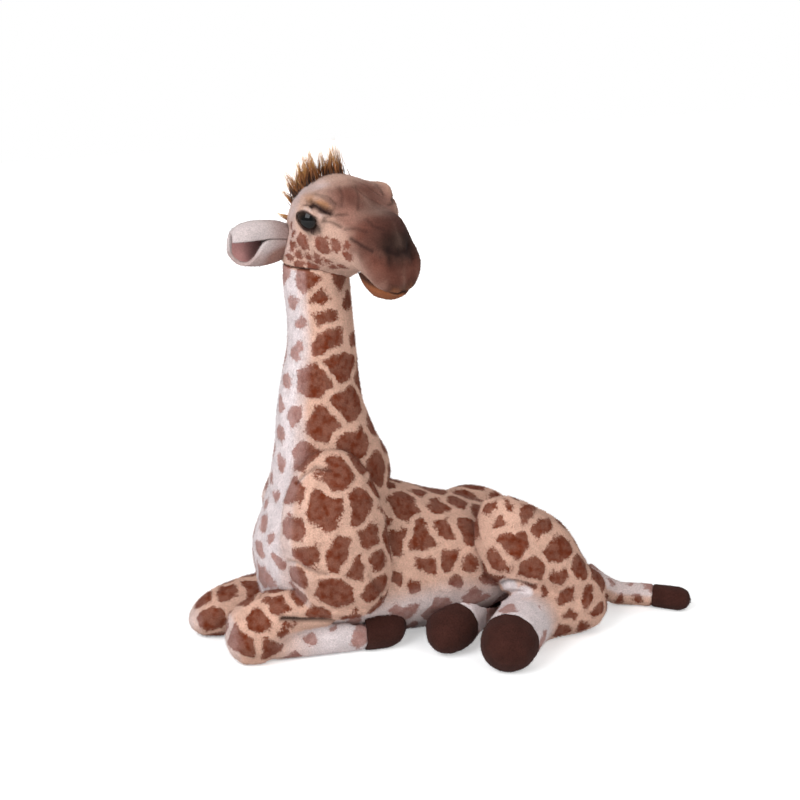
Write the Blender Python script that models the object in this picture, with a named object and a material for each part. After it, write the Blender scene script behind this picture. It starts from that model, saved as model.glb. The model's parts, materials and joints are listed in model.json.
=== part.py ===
"""A plush giraffe lying down, as the sewn, stuffed and clipped-on pieces that it is made of.

The giraffe faces -X, its left side is -Y and +Z is up. The origin is on the floor, on the flat patch
of belly that the toy rests on. All lengths are in metres.

Each soft form is a loft: rings of unlike width and height along a curved middle line. A smaller form
is cut by the larger ones that it is sewn to, each turned through the angles that its seam allows, so
that the pieces keep a small gap at rest and never run into each other.
"""

import math

import bmesh
import bpy
from mathutils import Matrix, Vector

X_AXIS = Vector((1, 0, 0))
Y_AXIS = Vector((0, 1, 0))
Z_AXIS = Vector((0, 0, 1))
LEFT = -1
RIGHT = 1
SIDE_NAMES = {LEFT: "left", RIGHT: "right"}

# Sewing and fitting
GAP = 0.0003
WELD = 0.000005
SKIN = 0.0018
PRESSED_FLAT = 0.0005
OVERRUN = 0.020
SWEEP_STEP_DEG = 10.0

# Body: the front of its chest lies CHEST_AHEAD of the origin
CHEST_AHEAD = 0.141
BODY_LENGTH = 0.248
BODY_WIDTH = 0.096
BODY_HEIGHT = 0.126
# along, sideways and middle height, then half width and half height
BODY_SHARES = (
    (0.000, 0.00, 0.520, 0.00, 0.000),
    (0.020, 0.00, 0.520, 0.18, 0.170),
    (0.080, 0.00, 0.510, 0.36, 0.380),
    (0.180, 0.00, 0.490, 0.46, 0.480),
    (0.320, 0.00, 0.440, 0.50, 0.444),
    (0.480, 0.00, 0.398, 0.50, 0.402),
    (0.600, 0.00, 0.375, 0.48, 0.379),
    (0.700, 0.00, 0.365, 0.45, 0.280),
    (0.790, 0.00, 0.350, 0.42, 0.195),
    (0.910, 0.00, 0.280, 0.33, 0.135),
    (0.980, 0.00, 0.240, 0.18, 0.080),
    (1.000, 0.00, 0.235, 0.00, 0.000),
)
BODY_SIDES = 20
BODY_RINGS = 16
FILLING_SIDES = 8
FILLING_RINGS_SHARE = 0.75

# Pellet pouch, on the floor of the belly
POUCH_BEHIND_CHEST = 0.050
POUCH_LENGTH = 0.110
POUCH_WIDTH = 0.050
POUCH_HEIGHT = 0.030
POUCH_SHARES = (
    (0.00, 0.00, 0.50, 0.00, 0.00),
    (0.08, 0.00, 0.50, 0.30, 0.32),
    (0.30, 0.00, 0.50, 0.48, 0.50),
    (0.70, 0.00, 0.50, 0.48, 0.50),
    (0.92, 0.00, 0.50, 0.30, 0.32),
    (1.00, 0.00, 0.50, 0.00, 0.00),
)
POUCH_SIDES = 12
POUCH_RINGS = 8

# Neck: it stands on a ball of the body, round which it can bend
NECK_SET_BACK = 0.054
NECK_PIVOT_HEIGHT = 0.092
NECK_BALL_RADIUS = 0.044
NECK_LENGTH = 0.172
NECK_WIDTH = 0.078
NECK_DEPTH = 0.090
# back from the pivot, sideways and height above it, then half width and half depth
NECK_SHARES = (
    (0.020, 0.00, 0.00, 0.42, 0.440),
    (0.030, 0.00, 0.14, 0.45, 0.480),
    (0.016, 0.00, 0.27, 0.41, 0.416),
    (-0.036, 0.00, 0.42, 0.345, 0.336),
    (-0.032, 0.00, 0.57, 0.300, 0.285),
    (-0.020, 0.00, 0.72, 0.280, 0.245),
    (-0.050, 0.00, 0.87, 0.275, 0.247),
    (-0.060, 0.00, 1.00, 0.270, 0.240),
)
NECK_SIDES = 16
# the neck's hollow for the body's ball is rounder than the ball and clears its edges as it bends
SOCKET_SIDES = 32
NECK_RINGS = 10
NECK_BEND_DEG = 6.0
FILLING_HOLE_RADIUS = 0.012

# Head, in its own frame: forward to the muzzle, left and up, from the middle of the skull
HEAD_ABOVE_PIVOT = 0.193
HEAD_SET_BACK = 0.007
HEAD_TURN_DEG = 112.0
HEAD_NOD_DEG = 8.0
HEAD_LENGTH = 0.104
HEAD_WIDTH = 0.064
HEAD_HEIGHT = 0.066
SKULL_BACK = 0.030
# along from the back of the skull, sideways and middle height, then half width and half height
HEAD_SHARES = (
    (0.000, 0.00, 0.03, 0.000, 0.000),
    (0.020, 0.00, 0.03, 0.180, 0.180),
    (0.090, 0.00, 0.03, 0.355, 0.360),
    (0.240, 0.00, 0.04, 0.490, 0.490),
    (0.360, 0.00, 0.05, 0.520, 0.485),
    (0.480, 0.00, 0.07, 0.510, 0.410),
    (0.610, 0.00, 0.045, 0.430, 0.318),
    (0.730, 0.00, 0.015, 0.360, 0.240),
    (0.860, 0.00, -0.055, 0.325, 0.215),
    (0.940, 0.00, -0.110, 0.265, 0.182),
    (0.987, 0.00, -0.130, 0.150, 0.110),
    (1.000, 0.00, -0.130, 0.000, 0.000),
)
HEAD_SIDES = 18
HEAD_RINGS = 15
HEAD_SWING_DEG = 20.0
# the head turns in a round dip in the top of the neck, this much deeper than the skull
NECK_DIP_CLEARANCE = 0.0008

# Lower jaw, in the head's frame
JAW_AHEAD = 0.032
JAW_DROP = 0.0165
JAW_LENGTH = 0.038
JAW_WIDTH = 0.028
JAW_HEIGHT = 0.016
JAW_SHARES = (
    (0.00, 0.00, 0.30, 0.00, 0.00),
    (0.06, 0.00, 0.26, 0.26, 0.26),
    (0.30, 0.00, 0.10, 0.44, 0.42),
    (0.62, 0.00, -0.06, 0.50, 0.50),
    (0.88, 0.00, -0.08, 0.36, 0.38),
    (0.97, 0.00, -0.02, 0.20, 0.20),
    (1.00, 0.00, 0.00, 0.00, 0.00),
)
JAW_SIDES = 12
JAW_RINGS = 9

# Eyes: where their shanks pass through the head, in the head's frame
EYE_AHEAD = 0.006
EYE_UP = 0.017
EYE_RADIUS = 0.0078
EYE_DOME = 0.0056
EYE_RIM = 0.0008
EYE_SUNK = 0.0010
EYE_SIDES = 16
DOME_RINGS = 4
SHANK_RADIUS = 0.0022
SHANK_LENGTH = 0.0110
SHANK_RIB = 0.0004
SHANK_RIBS = 3
WASHER_RADIUS = 0.0085
WASHER_THICKNESS = 0.0012

# Eyelids
LID_REACH_DEG = 150.0
LID_TILT_DEG = 20.0
LID_WIDTH = 0.0050
LID_THICKNESS = 0.0036
LID_LIFT = 0.0012
LID_SIDES = 8
LID_SHARES = (0.0, 0.55, 0.85, 1.0, 1.0, 1.0, 0.85, 0.55, 0.0)

# Ears, in the head's frame
EAR_BEHIND = 0.013
EAR_DROP = 0.0085
EAR_LENGTH = 0.040
EAR_WIDTH = 0.032
EAR_CUP = 0.008
EAR_THICKNESS = 0.0030
EAR_LINING = 0.0012
EAR_SUNK = 0.006
EAR_SEAM_SUNK = 0.001
EAR_SWEEP_DEG = 17.0
EAR_LIFT_DEG = 4.0
EAR_FLAP_DEG = 15.0
# along the ear, then its width and its cup's depth there
EAR_SHARES = (
    (0.00, 0.58, 0.90),
    (0.15, 0.80, 1.00),
    (0.40, 1.00, 1.00),
    (0.65, 0.97, 0.80),
    (0.85, 0.74, 0.45),
    (1.00, 0.28, 0.08),
)
EAR_RINGS = 9
EAR_ACROSS = 8
# how many of the ear's rows and columns of faces the lining leaves free round its rim
LINING_INSET = 1

# Mane, along the middle line of the head, at angles round the skull from straight ahead
MANE_FROM_DEG = 86.0
MANE_TO_DEG = 184.0
MANE_HEIGHT = 0.020
MANE_WIDTH = 0.020
MANE_SUNK = 0.004
# along the mane, then its height and its width there
MANE_SHARES = (
    (0.00, 0.72, 0.66),
    (0.12, 0.96, 0.92),
    (0.30, 1.00, 1.00),
    (0.50, 0.80, 1.00),
    (0.75, 0.60, 0.88),
    (1.00, 0.50, 0.60),
)
MANE_RINGS = 10
# the mane's cross-section, from its left foot over its top to its right foot
MANE_SECTION_SHARES = (
    (-0.50, 0.00),
    (-0.46, 0.45),
    (-0.24, 0.90),
    (0.00, 1.00),
    (0.24, 0.90),
    (0.46, 0.45),
    (0.50, 0.00),
)

# Forelegs, folded under the chest
ARM_BEHIND_CHEST = 0.047
ARM_TOP = 0.147
ARM_LENGTH = 0.118
ARM_DEPTH = 0.074
ARM_THICKNESS = 0.044
# of the arm's depth, the body's width and the arm's length, then half thickness and half depth
ARM_SHARES = (
    (0.00, 0.33, 1.000, 0.00, 0.00),
    (0.00, 0.35, 0.955, 0.24, 0.22),
    (-0.02, 0.39, 0.800, 0.42, 0.40),
    (-0.03, 0.43, 0.580, 0.50, 0.49),
    (0.04, 0.44, 0.340, 0.50, 0.48),
    (0.14, 0.42, 0.140, 0.44, 0.42),
    (0.19, 0.41, 0.030, 0.25, 0.24),
    (0.20, 0.41, 0.000, 0.00, 0.00),
)
ARM_SIDES = 14
ARM_RINGS = 10
FOREARM_START = 0.008
FOREARM_LENGTH = 0.080
FOREARM_HEIGHT = 0.046
FOREARM_WIDTH = 0.036
FOREARM_OUT = 0.028
# of the forearm's length, how far out it lies and its height, then half width and half height
FOREARM_SHARES = (
    (0.00, 1.35, 0.96, 0.00, 0.00),
    (0.05, 1.33, 0.96, 0.28, 0.22),
    (0.22, 1.25, 0.95, 0.42, 0.32),
    (0.45, 1.12, 0.92, 0.45, 0.34),
    (0.64, 1.02, 0.80, 0.49, 0.41),
    (0.79, 0.97, 0.56, 0.50, 0.49),
    (0.91, 0.95, 0.47, 0.38, 0.38),
    (0.98, 0.95, 0.44, 0.17, 0.18),
    (1.00, 0.95, 0.43, 0.00, 0.00),
)
FOREARM_SIDES = 12
FOREARM_RINGS = 10
CANNON_LENGTH = 0.108
CANNON_THICKNESS = 0.027
CANNON_INSIDE_KNEE = 0.016
# of the cannon's length, how far out it lies and its thickness
CANNON_SHARES = (
    (0.00, 0.97, 0.50, 0.36, 0.36),
    (0.25, 1.00, 0.50, 0.47, 0.47),
    (0.50, 1.05, 0.50, 0.48, 0.48),
    (0.70, 1.10, 0.52, 0.50, 0.50),
    (0.80, 1.10, 0.54, 0.54, 0.54),
    (0.92, 1.10, 0.54, 0.50, 0.52),
    (0.985, 1.10, 0.52, 0.28, 0.30),
    (1.00, 1.10, 0.50, 0.00, 0.00),
)
CANNON_SIDES = 12
CANNON_RINGS = 10
FORE_HOOF_FROM_SHARE = 0.50
RIGHT_KNEE_FURTHER = 0.012
RIGHT_ARM_FURTHER_BACK = 0.010
RIGHT_FOREARM_LOWER = 0.014
FORELEG_LIFT_DEG = 14.0
FORELEG_SEAM_OUT = 0.022
FORELEG_SEAM_HEIGHT = 0.134

# Hind legs, whose hooves both lie to the left; the right thigh is pressed lower
THIGH_START = 0.012
THIGH_LENGTH = 0.086
THIGH_OUT = 0.050
THIGH_TOP = 0.100
RIGHT_THIGH_LOWER = 0.030
THIGH_GIRTH = 0.064
THIGH_THICKNESS = 0.044
# of the thigh's length, how far out it lies and its top, then half thickness and half girth
THIGH_SHARES = (
    (0.00, 0.76, 1.00, 0.00, 0.000),
    (0.07, 0.84, 0.92, 0.30, 0.270),
    (0.16, 0.92, 0.80, 0.43, 0.420),
    (0.27, 0.96, 0.66, 0.50, 0.500),
    (0.47, 0.98, 0.54, 0.50, 0.485),
    (0.67, 1.00, 0.42, 0.46, 0.410),
    (0.82, 1.00, 0.31, 0.40, 0.310),
    (0.92, 1.00, 0.24, 0.27, 0.200),
    (0.99, 1.00, 0.20, 0.00, 0.000),
)
THIGH_SIDES = 14
THIGH_RINGS = 10
LEFT_HOCK_BACK = 0.088
LEFT_HOCK_OUT = 0.052
LEFT_SHANK_REACH = 0.090
LEFT_SHANK_SPREAD = 0.058
LEFT_SHANK_THICKNESS = 0.040
# forward of the hock, out from it and height, then half width and half height
LEFT_SHANK_SHARES = (
    (-0.12, 0.00, 0.50, 0.00, 0.00),
    (-0.07, 0.00, 0.50, 0.28, 0.28),
    (0.05, 0.01, 0.50, 0.46, 0.46),
    (0.25, 0.03, 0.52, 0.50, 0.50),
    (0.47, 0.09, 0.52, 0.50, 0.50),
    (0.62, 0.25, 0.50, 0.49, 0.49),
    (0.77, 0.52, 0.48, 0.48, 0.48),
    (0.86, 0.68, 0.46, 0.49, 0.47),
    (0.94, 0.86, 0.40, 0.42, 0.40),
    (0.985, 0.96, 0.33, 0.24, 0.24),
    (1.00, 1.00, 0.30, 0.00, 0.00),
)
RIGHT_HOCK_BACK = 0.089
RIGHT_HOCK_OUT = 0.042
RIGHT_SHANK_REACH = 0.120
RIGHT_SHANK_SPREAD = 0.112
RIGHT_SHANK_THICKNESS = 0.033
RIGHT_SHANK_SHARES = (
    (0.00, 0.00, 0.55, 0.00, 0.00),
    (0.04, 0.04, 0.55, 0.30, 0.30),
    (0.14, 0.17, 0.50, 0.47, 0.47),
    (0.31, 0.375, 0.50, 0.50, 0.50),
    (0.60, 0.56, 0.50, 0.50, 0.50),
    (0.765, 0.71, 0.51, 0.52, 0.52),
    (0.84, 0.80, 0.50, 0.54, 0.52),
    (0.93, 0.91, 0.44, 0.44, 0.42),
    (0.98, 0.97, 0.35, 0.24, 0.24),
    (1.00, 1.00, 0.30, 0.00, 0.00),
)
SHANK_SIDES = 12
SHANK_RINGS = 13
HIND_HOOF_FROM_SHARE = 0.64
HINDLEG_LIFT_DEG = 12.0
HINDLEG_SEAM_OUT = 0.026
HINDLEG_SEAM_HEIGHT = 0.098
HINDLEG_SWING_DEG = 3.0

# Tail: from the rump down to the floor
TAIL_ROOT_BACK = 0.092
TAIL_ROOT_OUT = 0.004
TAIL_ROOT_HEIGHT = 0.034
TAIL_REACH = 0.073
TAIL_SPREAD = 0.046
TAIL_THICKNESS = 0.017
TAIL_SHARES = (
    (0.00, 0.00, 1.00, 0.50, 0.50),
    (0.16, 0.22, 0.59, 0.52, 0.52),
    (0.38, 0.39, 0.29, 0.50, 0.50),
    (0.62, 0.52, 0.25, 0.48, 0.48),
    (0.79, 0.72, 0.25, 0.50, 0.50),
    (0.93, 0.91, 0.25, 0.50, 0.50),
    (0.985, 0.98, 0.25, 0.30, 0.30),
    (1.00, 1.00, 0.25, 0.00, 0.00),
)
TAIL_SIDES = 10
TAIL_RINGS = 11
TAIL_END_FROM_SHARE = 0.50
TAIL_SWING_IN_DEG = 10.0
TAIL_SWING_OUT_DEG = 25.0

STILL = (Matrix.Identity(4),)
NECK_PIVOT = Vector((NECK_SET_BACK - CHEST_AHEAD, 0, NECK_PIVOT_HEIGHT))
SKULL = NECK_PIVOT + Vector((HEAD_SET_BACK, 0, HEAD_ABOVE_PIVOT))


class Form:
    """A soft form: rows of (middle, direction, half width, half height) along its middle line."""

    def __init__(self, rows, crown, sides):
        self.rows = rows
        self.crown = crown
        self.sides = sides

    def ring(self, i):
        """The points round row i, or its one point where the form closes."""
        middle, along, half_width, half_height = self.rows[i]
        if half_width == 0:
            return [middle]
        across = along.cross(self.crown).normalized()
        up = across.cross(along).normalized()
        angles = [math.tau * (n + 1 / 2) / self.sides for n in range(self.sides)]
        return [middle + across * half_width * math.cos(a) + up * half_height * math.sin(a) for a in angles]

    def grown(self, by):
        """The same form with its surface moved out by a distance, or in by a negative one."""
        last = len(self.rows) - 1
        made = []
        for i, (middle, along, half_width, half_height) in enumerate(self.rows):
            if i in (0, last):
                outward = along if i else -along
                sizes = [size + by if size else 0 for size in (half_width, half_height)]
                made.append((middle + outward * by, along, *sizes))
                continue
            before, after = self.rows[i - 1], self.rows[i + 1]
            run = (after[0] - before[0]).length
            rise = after[3] - before[3]
            slope = math.hypot(run, rise)
            sizes = [max(size + by * run / slope, GAP) for size in (half_width, half_height)]
            made.append((middle - along * by * rise / slope, along, *sizes))
        return Form(made, self.crown, self.sides)

    def coarser(self):
        """The same form with fewer rings and sides, for what is never seen."""
        flat = [(*middle, *along, wide, high) for middle, along, wide, high in self.rows]
        rings = round(len(flat) * FILLING_RINGS_SHARE)
        rows = []
        for x, y, z, run_x, run_y, run_z, wide, high in smooth_rows(flat, rings):
            rows.append((Vector((x, y, z)), Vector((run_x, run_y, run_z)).normalized(), wide, high))
        return Form(rows, self.crown, FILLING_SIDES)

    def placed(self, matrix):
        turn = matrix.to_3x3()
        rows = [(matrix @ middle, turn @ along, wide, high) for middle, along, wide, high in self.rows]
        return Form(rows, turn @ self.crown, self.sides)

    def set_down(self):
        """Lowers or lifts the form until the floor presses it flat by PRESSED_FLAT."""
        lowest = min(point.z for i in range(len(self.rows)) for point in self.ring(i))
        return self.placed(Matrix.Translation(Z_AXIS * (-PRESSED_FLAT - lowest)))

    def split(self, share):
        """The two forms on either side of a seam across the middle line."""
        k = round((len(self.rows) - 1) * share)
        middle, along, wide, high = self.rows[k]
        after = (middle + along * GAP, along, wide, high)
        first = Form(self.rows[: k + 1], self.crown, self.sides)
        return first, Form([after, *self.rows[k + 1 :]], self.crown, self.sides)


def form_through(rows, crown, sides):
    """A form whose direction at each row follows from the middles before and after it."""
    middles = [rows[0][0], *(row[0] for row in rows), rows[-1][0]]
    made = []
    for i, (middle, wide, high) in enumerate(rows):
        made.append((middle, (middles[i + 2] - middles[i]).normalized(), wide, high))
    return Form(made, crown, sides)


class Seam:
    """A soft hinge: a point on its axis, the axis, and the angles that it allows."""

    def __init__(self, pivot, axis, low_deg, high_deg):
        self.pivot = pivot
        self.axis = axis.normalized()
        self.low_deg = low_deg
        self.high_deg = high_deg

    def turns(self, sign):
        """Matrices that turn something about the seam through its range, with its place at rest."""
        there = Matrix.Translation(self.pivot)
        steps = math.ceil((self.high_deg - self.low_deg) / SWEEP_STEP_DEG)
        stops = {self.low_deg + (self.high_deg - self.low_deg) * n / steps for n in range(steps + 1)}
        made = []
        for stop in sorted(stops | {0}):
            turn = Matrix.Rotation(math.radians(sign * stop), 4, self.axis)
            made.append(there @ turn @ there.inverted())
        return made


def curve_value(before, start, end, after, t):
    """A value on the smooth curve that passes start and end, between its neighbours."""
    slope_in = (end - before) / 2
    slope_out = (after - start) / 2
    rise = end - start
    cubic = slope_in + slope_out - 2 * rise
    return start + t * (slope_in + t * (rise - slope_in - cubic + t * cubic))


def smooth_rows(rows, count):
    """count rows along a smooth curve through the given ones."""
    last = len(rows) - 1
    made = []
    for i in range(count):
        place = last * i / (count - 1)
        k = min(int(place), last - 1)
        around = [rows[min(max(k + n, 0), last)] for n in (-1, 0, 1, 2)]
        row = [curve_value(*values, place - k) for values in zip(*around)]
        closed = (i == 0 and rows[0][-1] == 0) or (i == count - 1 and rows[-1][-1] == 0)
        sizes = [0 if closed else max(size, 0) for size in row[-2:]]
        made.append((*row[:-2], *sizes))
    return made


def form_of(shares, origin, spans, width, height, crown, rings, sides):
    """A form from a table of shares: places of spans from origin, then of the width and height."""
    rows = []
    for x, y, z, wide, high in smooth_rows(shares, rings):
        middle = origin + Vector((x * spans[0], y * spans[1], z * spans[2]))
        rows.append((middle, wide * width, high * height))
    return form_through(rows, crown, sides)


def ball(middle, radius, sides):
    """A form in the shape of a ball."""
    rings = sides // 2
    rows = []
    for n in range(rings + 1):
        angle = math.pi * n / rings
        size = radius * math.sin(angle) if 0 < n < rings else 0
        rows.append((middle - Z_AXIS * radius * math.cos(angle), size, size))
    return form_through(rows, X_AXIS, sides)


def rod(start, end, radius, sides, crown):
    """A plain round rod, as a form of two rows."""
    return form_through([(start, radius, radius), (end, radius, radius)], crown, sides)


def new_object(name, work):
    """An object from a bmesh, with its faces turned outwards."""
    bmesh.ops.recalc_face_normals(work, faces=work.faces)
    mesh = bpy.data.meshes.new(name)
    work.to_mesh(mesh)
    work.free()
    made = bpy.data.objects.new(name, mesh)
    bpy.context.scene.collection.objects.link(made)
    return made


def panel(work, corners):
    """A triangle, or two over four corners, so that a panel and its grown copies crease alike."""
    corners = list(dict.fromkeys(corners))
    for n in range(len(corners) - 2):
        work.faces.new((corners[0], corners[n + 1], corners[n + 2]))


def skinned(rings):
    """A closed bmesh over rings of points; a ring of one point closes it, others get a flat end."""
    work = bmesh.new()
    made = [[work.verts.new(point) for point in ring] for ring in rings]
    for one, other in zip(made, made[1:]):
        for n in range(max(len(one), len(other))):
            m = n + 1
            panel(work, (one[n % len(one)], one[m % len(one)], other[m % len(other)], other[n % len(other)]))
    for ring in (made[0], made[-1]):
        if len(ring) > 1:
            work.faces.new(ring)
    return work


def solid(name, form):
    return new_object(name, skinned([form.ring(i) for i in range(len(form.rows))]))


def combine(target, others, how):
    """Applies one Boolean of all the other objects to target, and removes them."""
    group = bpy.data.collections.new(how)
    for other in others:
        group.objects.link(other)
    change = target.modifiers.new(how, "BOOLEAN")
    change.operation = how
    change.solver = "EXACT"
    change.operand_type = "COLLECTION"
    change.collection = group
    shape = target.evaluated_get(bpy.context.evaluated_depsgraph_get())
    mesh = bpy.data.meshes.new_from_object(shape)
    target.modifiers.clear()
    target.data = mesh
    for other in others:
        bpy.data.objects.remove(other)
    bpy.data.collections.remove(group)
    return target


def cut(target, others):
    """Cuts target by the other objects, and drops slivers that come loose."""
    return largest_body(combine(target, others, "DIFFERENCE"))


def round_about(form, turns=STILL):
    """Cutters in the shape of a form grown by the sewing gap, at each of its turns."""
    made = []
    for turn in turns:
        cutter = solid("cutter", form.grown(GAP))
        cutter.data.transform(turn)
        made.append(cutter)
    return made


def floor_cutter():
    """A slab under the floor, which cuts a flat patch to rest on."""
    side = (BODY_LENGTH + NECK_LENGTH) * 2
    work = bmesh.new()
    bmesh.ops.create_cube(work, size=1)
    work.transform(Matrix.Translation(-Z_AXIS * OVERRUN / 2) @ Matrix.Diagonal((side, side, OVERRUN, 1)))
    return new_object("floor", work)


def largest_body(target):
    """Welds corners that all but meet, and drops loose slivers that a cut left beside the piece."""
    work = bmesh.new()
    work.from_mesh(target.data)
    bmesh.ops.remove_doubles(work, verts=work.verts, dist=WELD)
    left = set(work.verts)
    groups = []
    while left:
        group = set()
        todo = [left.pop()]
        while todo:
            vert = todo.pop()
            group.add(vert)
            near = {edge.other_vert(vert) for edge in vert.link_edges} & left
            left -= near
            todo.extend(near)
        groups.append(group)
    keep = max(groups, key=len)
    bmesh.ops.delete(work, geom=[vert for vert in work.verts if vert not in keep], context="VERTS")
    work.to_mesh(target.data)
    work.free()
    return target


def united(name, forms):
    """One object over several forms that run into each other."""
    first, *others = [solid(name, form) for form in forms]
    return combine(first, others, "UNION") if others else first


def plain(forms, inwards):
    """Coarser, smaller copies of forms, for the hollow of a skin and for its filling."""
    return [form.coarser().grown(-inwards) for form in forms]


def head_frame():
    """A matrix from the head's own frame (forward, left, up) to the world."""
    turn = math.radians(180 + HEAD_TURN_DEG)
    nod = math.radians(HEAD_NOD_DEG)
    forward = Vector((math.cos(turn) * math.cos(nod), math.sin(turn) * math.cos(nod), -math.sin(nod)))
    left = Vector((-math.sin(turn), math.cos(turn), 0))
    axes = Matrix((forward, left, forward.cross(left))).transposed()
    return Matrix.Translation(SKULL) @ axes.to_4x4()


def body_forms():
    """The body's long form, and the ball of it that the neck stands on."""
    origin = -X_AXIS * CHEST_AHEAD
    spans = (BODY_LENGTH, BODY_WIDTH, BODY_HEIGHT)
    long = form_of(BODY_SHARES, origin, spans, BODY_WIDTH, BODY_HEIGHT, Z_AXIS, BODY_RINGS, BODY_SIDES)
    return [long.set_down(), ball(NECK_PIVOT, NECK_BALL_RADIUS, BODY_SIDES)]


def neck_form():
    spans = (NECK_DEPTH, NECK_WIDTH, NECK_LENGTH)
    return form_of(NECK_SHARES, NECK_PIVOT, spans, NECK_WIDTH, NECK_DEPTH, X_AXIS, NECK_RINGS, NECK_SIDES)


def head_form():
    return local_head_form().placed(head_frame())


def local_head_form():
    origin = -X_AXIS * SKULL_BACK
    spans = (HEAD_LENGTH, HEAD_WIDTH, HEAD_HEIGHT)
    return form_of(HEAD_SHARES, origin, spans, HEAD_WIDTH, HEAD_HEIGHT, Z_AXIS, HEAD_RINGS, HEAD_SIDES)


def skull_depth():
    """How far the underside of the head lies below the middle of the skull."""
    return max(high - middle.z for middle, _, _, high in local_head_form().rows)


def on_head(ahead, up, side):
    """The point of the head's side at a place in the head's frame, and the direction out of it."""

    def half_width(x, z):
        rows = local_head_form().rows
        for (a, _, wide_a, high_a), (b, _, wide_b, high_b) in zip(rows, rows[1:]):
            if a.x <= x <= b.x:
                t = (x - a.x) / (b.x - a.x)
                height = (z - a.z - (b.z - a.z) * t) / (high_a + (high_b - high_a) * t)
                return (wide_a + (wide_b - wide_a) * t) * math.sqrt(max(1 - height * height, 0))
        return 0

    step = HEAD_LENGTH / HEAD_RINGS
    slope_x = (half_width(ahead + step, up) - half_width(ahead - step, up)) / (2 * step)
    slope_z = (half_width(ahead, up + step) - half_width(ahead, up - step)) / (2 * step)
    point = Vector((ahead, -side * half_width(ahead, up), up))
    return point, Vector((-slope_x, -side, -slope_z)).normalized()


def jaw_form():
    origin = Vector((JAW_AHEAD, 0, -JAW_DROP))
    spans = (JAW_LENGTH, JAW_WIDTH, JAW_HEIGHT)
    form = form_of(JAW_SHARES, origin, spans, JAW_WIDTH, JAW_HEIGHT, Z_AXIS, JAW_RINGS, JAW_SIDES)
    return form.placed(head_frame())


def arm_back(side):
    """Where an upper foreleg's middle lies along the body."""
    further = RIGHT_ARM_FURTHER_BACK if side == RIGHT else 0
    return ARM_BEHIND_CHEST - CHEST_AHEAD + further


def arm_form(side):
    """The upper foreleg: a tall oval on the flank, from the shoulder to the elbow."""
    origin = Vector((arm_back(side), 0, ARM_TOP - ARM_LENGTH))
    spans = (ARM_DEPTH, side * BODY_WIDTH, ARM_LENGTH)
    return form_of(ARM_SHARES, origin, spans, ARM_THICKNESS, ARM_DEPTH, X_AXIS, ARM_RINGS, ARM_SIDES)


def knee_ahead(side):
    """How far a foreleg's knee lies in front of its elbow: the right one's lies further."""
    return FOREARM_LENGTH + (RIGHT_KNEE_FURTHER + RIGHT_ARM_FURTHER_BACK if side == RIGHT else 0)


def forearm_form(side):
    origin = X_AXIS * (arm_back(side) + FOREARM_START)
    height = FOREARM_HEIGHT - (RIGHT_FOREARM_LOWER if side == RIGHT else 0)
    spans = (-knee_ahead(side), side * FOREARM_OUT, height)
    form = form_of(
        FOREARM_SHARES, origin, spans, FOREARM_WIDTH, height, Z_AXIS, FOREARM_RINGS, FOREARM_SIDES
    )
    return form.set_down()


def whole_cannon(side):
    """The folded lower foreleg with its hoof, from inside the knee backwards along the floor."""
    origin = X_AXIS * (arm_back(side) + FOREARM_START - knee_ahead(side) + CANNON_INSIDE_KNEE)
    spans = (CANNON_LENGTH, side * FOREARM_OUT, CANNON_THICKNESS)
    form = form_of(
        CANNON_SHARES,
        origin,
        spans,
        CANNON_THICKNESS,
        CANNON_THICKNESS,
        Z_AXIS,
        CANNON_RINGS,
        CANNON_SIDES,
    )
    return form.set_down()


def thigh_form(side):
    origin = X_AXIS * THIGH_START
    top = THIGH_TOP - (RIGHT_THIGH_LOWER if side == RIGHT else 0)
    spans = (THIGH_LENGTH, side * THIGH_OUT, top)
    return form_of(
        THIGH_SHARES, origin, spans, THIGH_THICKNESS, THIGH_GIRTH, Z_AXIS, THIGH_RINGS, THIGH_SIDES
    )


def whole_shank(side):
    """A lower hind leg with its hoof, along the floor to the left."""
    if side == LEFT:
        origin = Vector((LEFT_HOCK_BACK, -LEFT_HOCK_OUT, 0))
        spans = (-LEFT_SHANK_REACH, -LEFT_SHANK_SPREAD, LEFT_SHANK_THICKNESS)
        shares = LEFT_SHANK_SHARES
    else:
        origin = Vector((RIGHT_HOCK_BACK, RIGHT_HOCK_OUT, 0))
        spans = (-RIGHT_SHANK_REACH, -RIGHT_SHANK_SPREAD, RIGHT_SHANK_THICKNESS)
        shares = RIGHT_SHANK_SHARES
    form = form_of(shares, origin, spans, spans[2], spans[2], Z_AXIS, SHANK_RINGS, SHANK_SIDES)
    return form.set_down()


def whole_tail():
    origin = Vector((TAIL_ROOT_BACK, -TAIL_ROOT_OUT, 0))
    spans = (TAIL_REACH, -TAIL_SPREAD, TAIL_ROOT_HEIGHT)
    form = form_of(
        TAIL_SHARES, origin, spans, TAIL_THICKNESS, TAIL_THICKNESS, Z_AXIS, TAIL_RINGS, TAIL_SIDES
    )
    return form.set_down()


def eye_frame(side):
    """Where an eye sits on the head: a matrix whose Z axis points straight out of the eye."""
    point, out = on_head(EYE_AHEAD, EYE_UP, side)
    up = (Z_AXIS - out * out.z).normalized()
    axes = Matrix((up.cross(out), up, out)).transposed().to_4x4()
    return head_frame() @ Matrix.Translation(point - out * EYE_SUNK) @ axes


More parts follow.
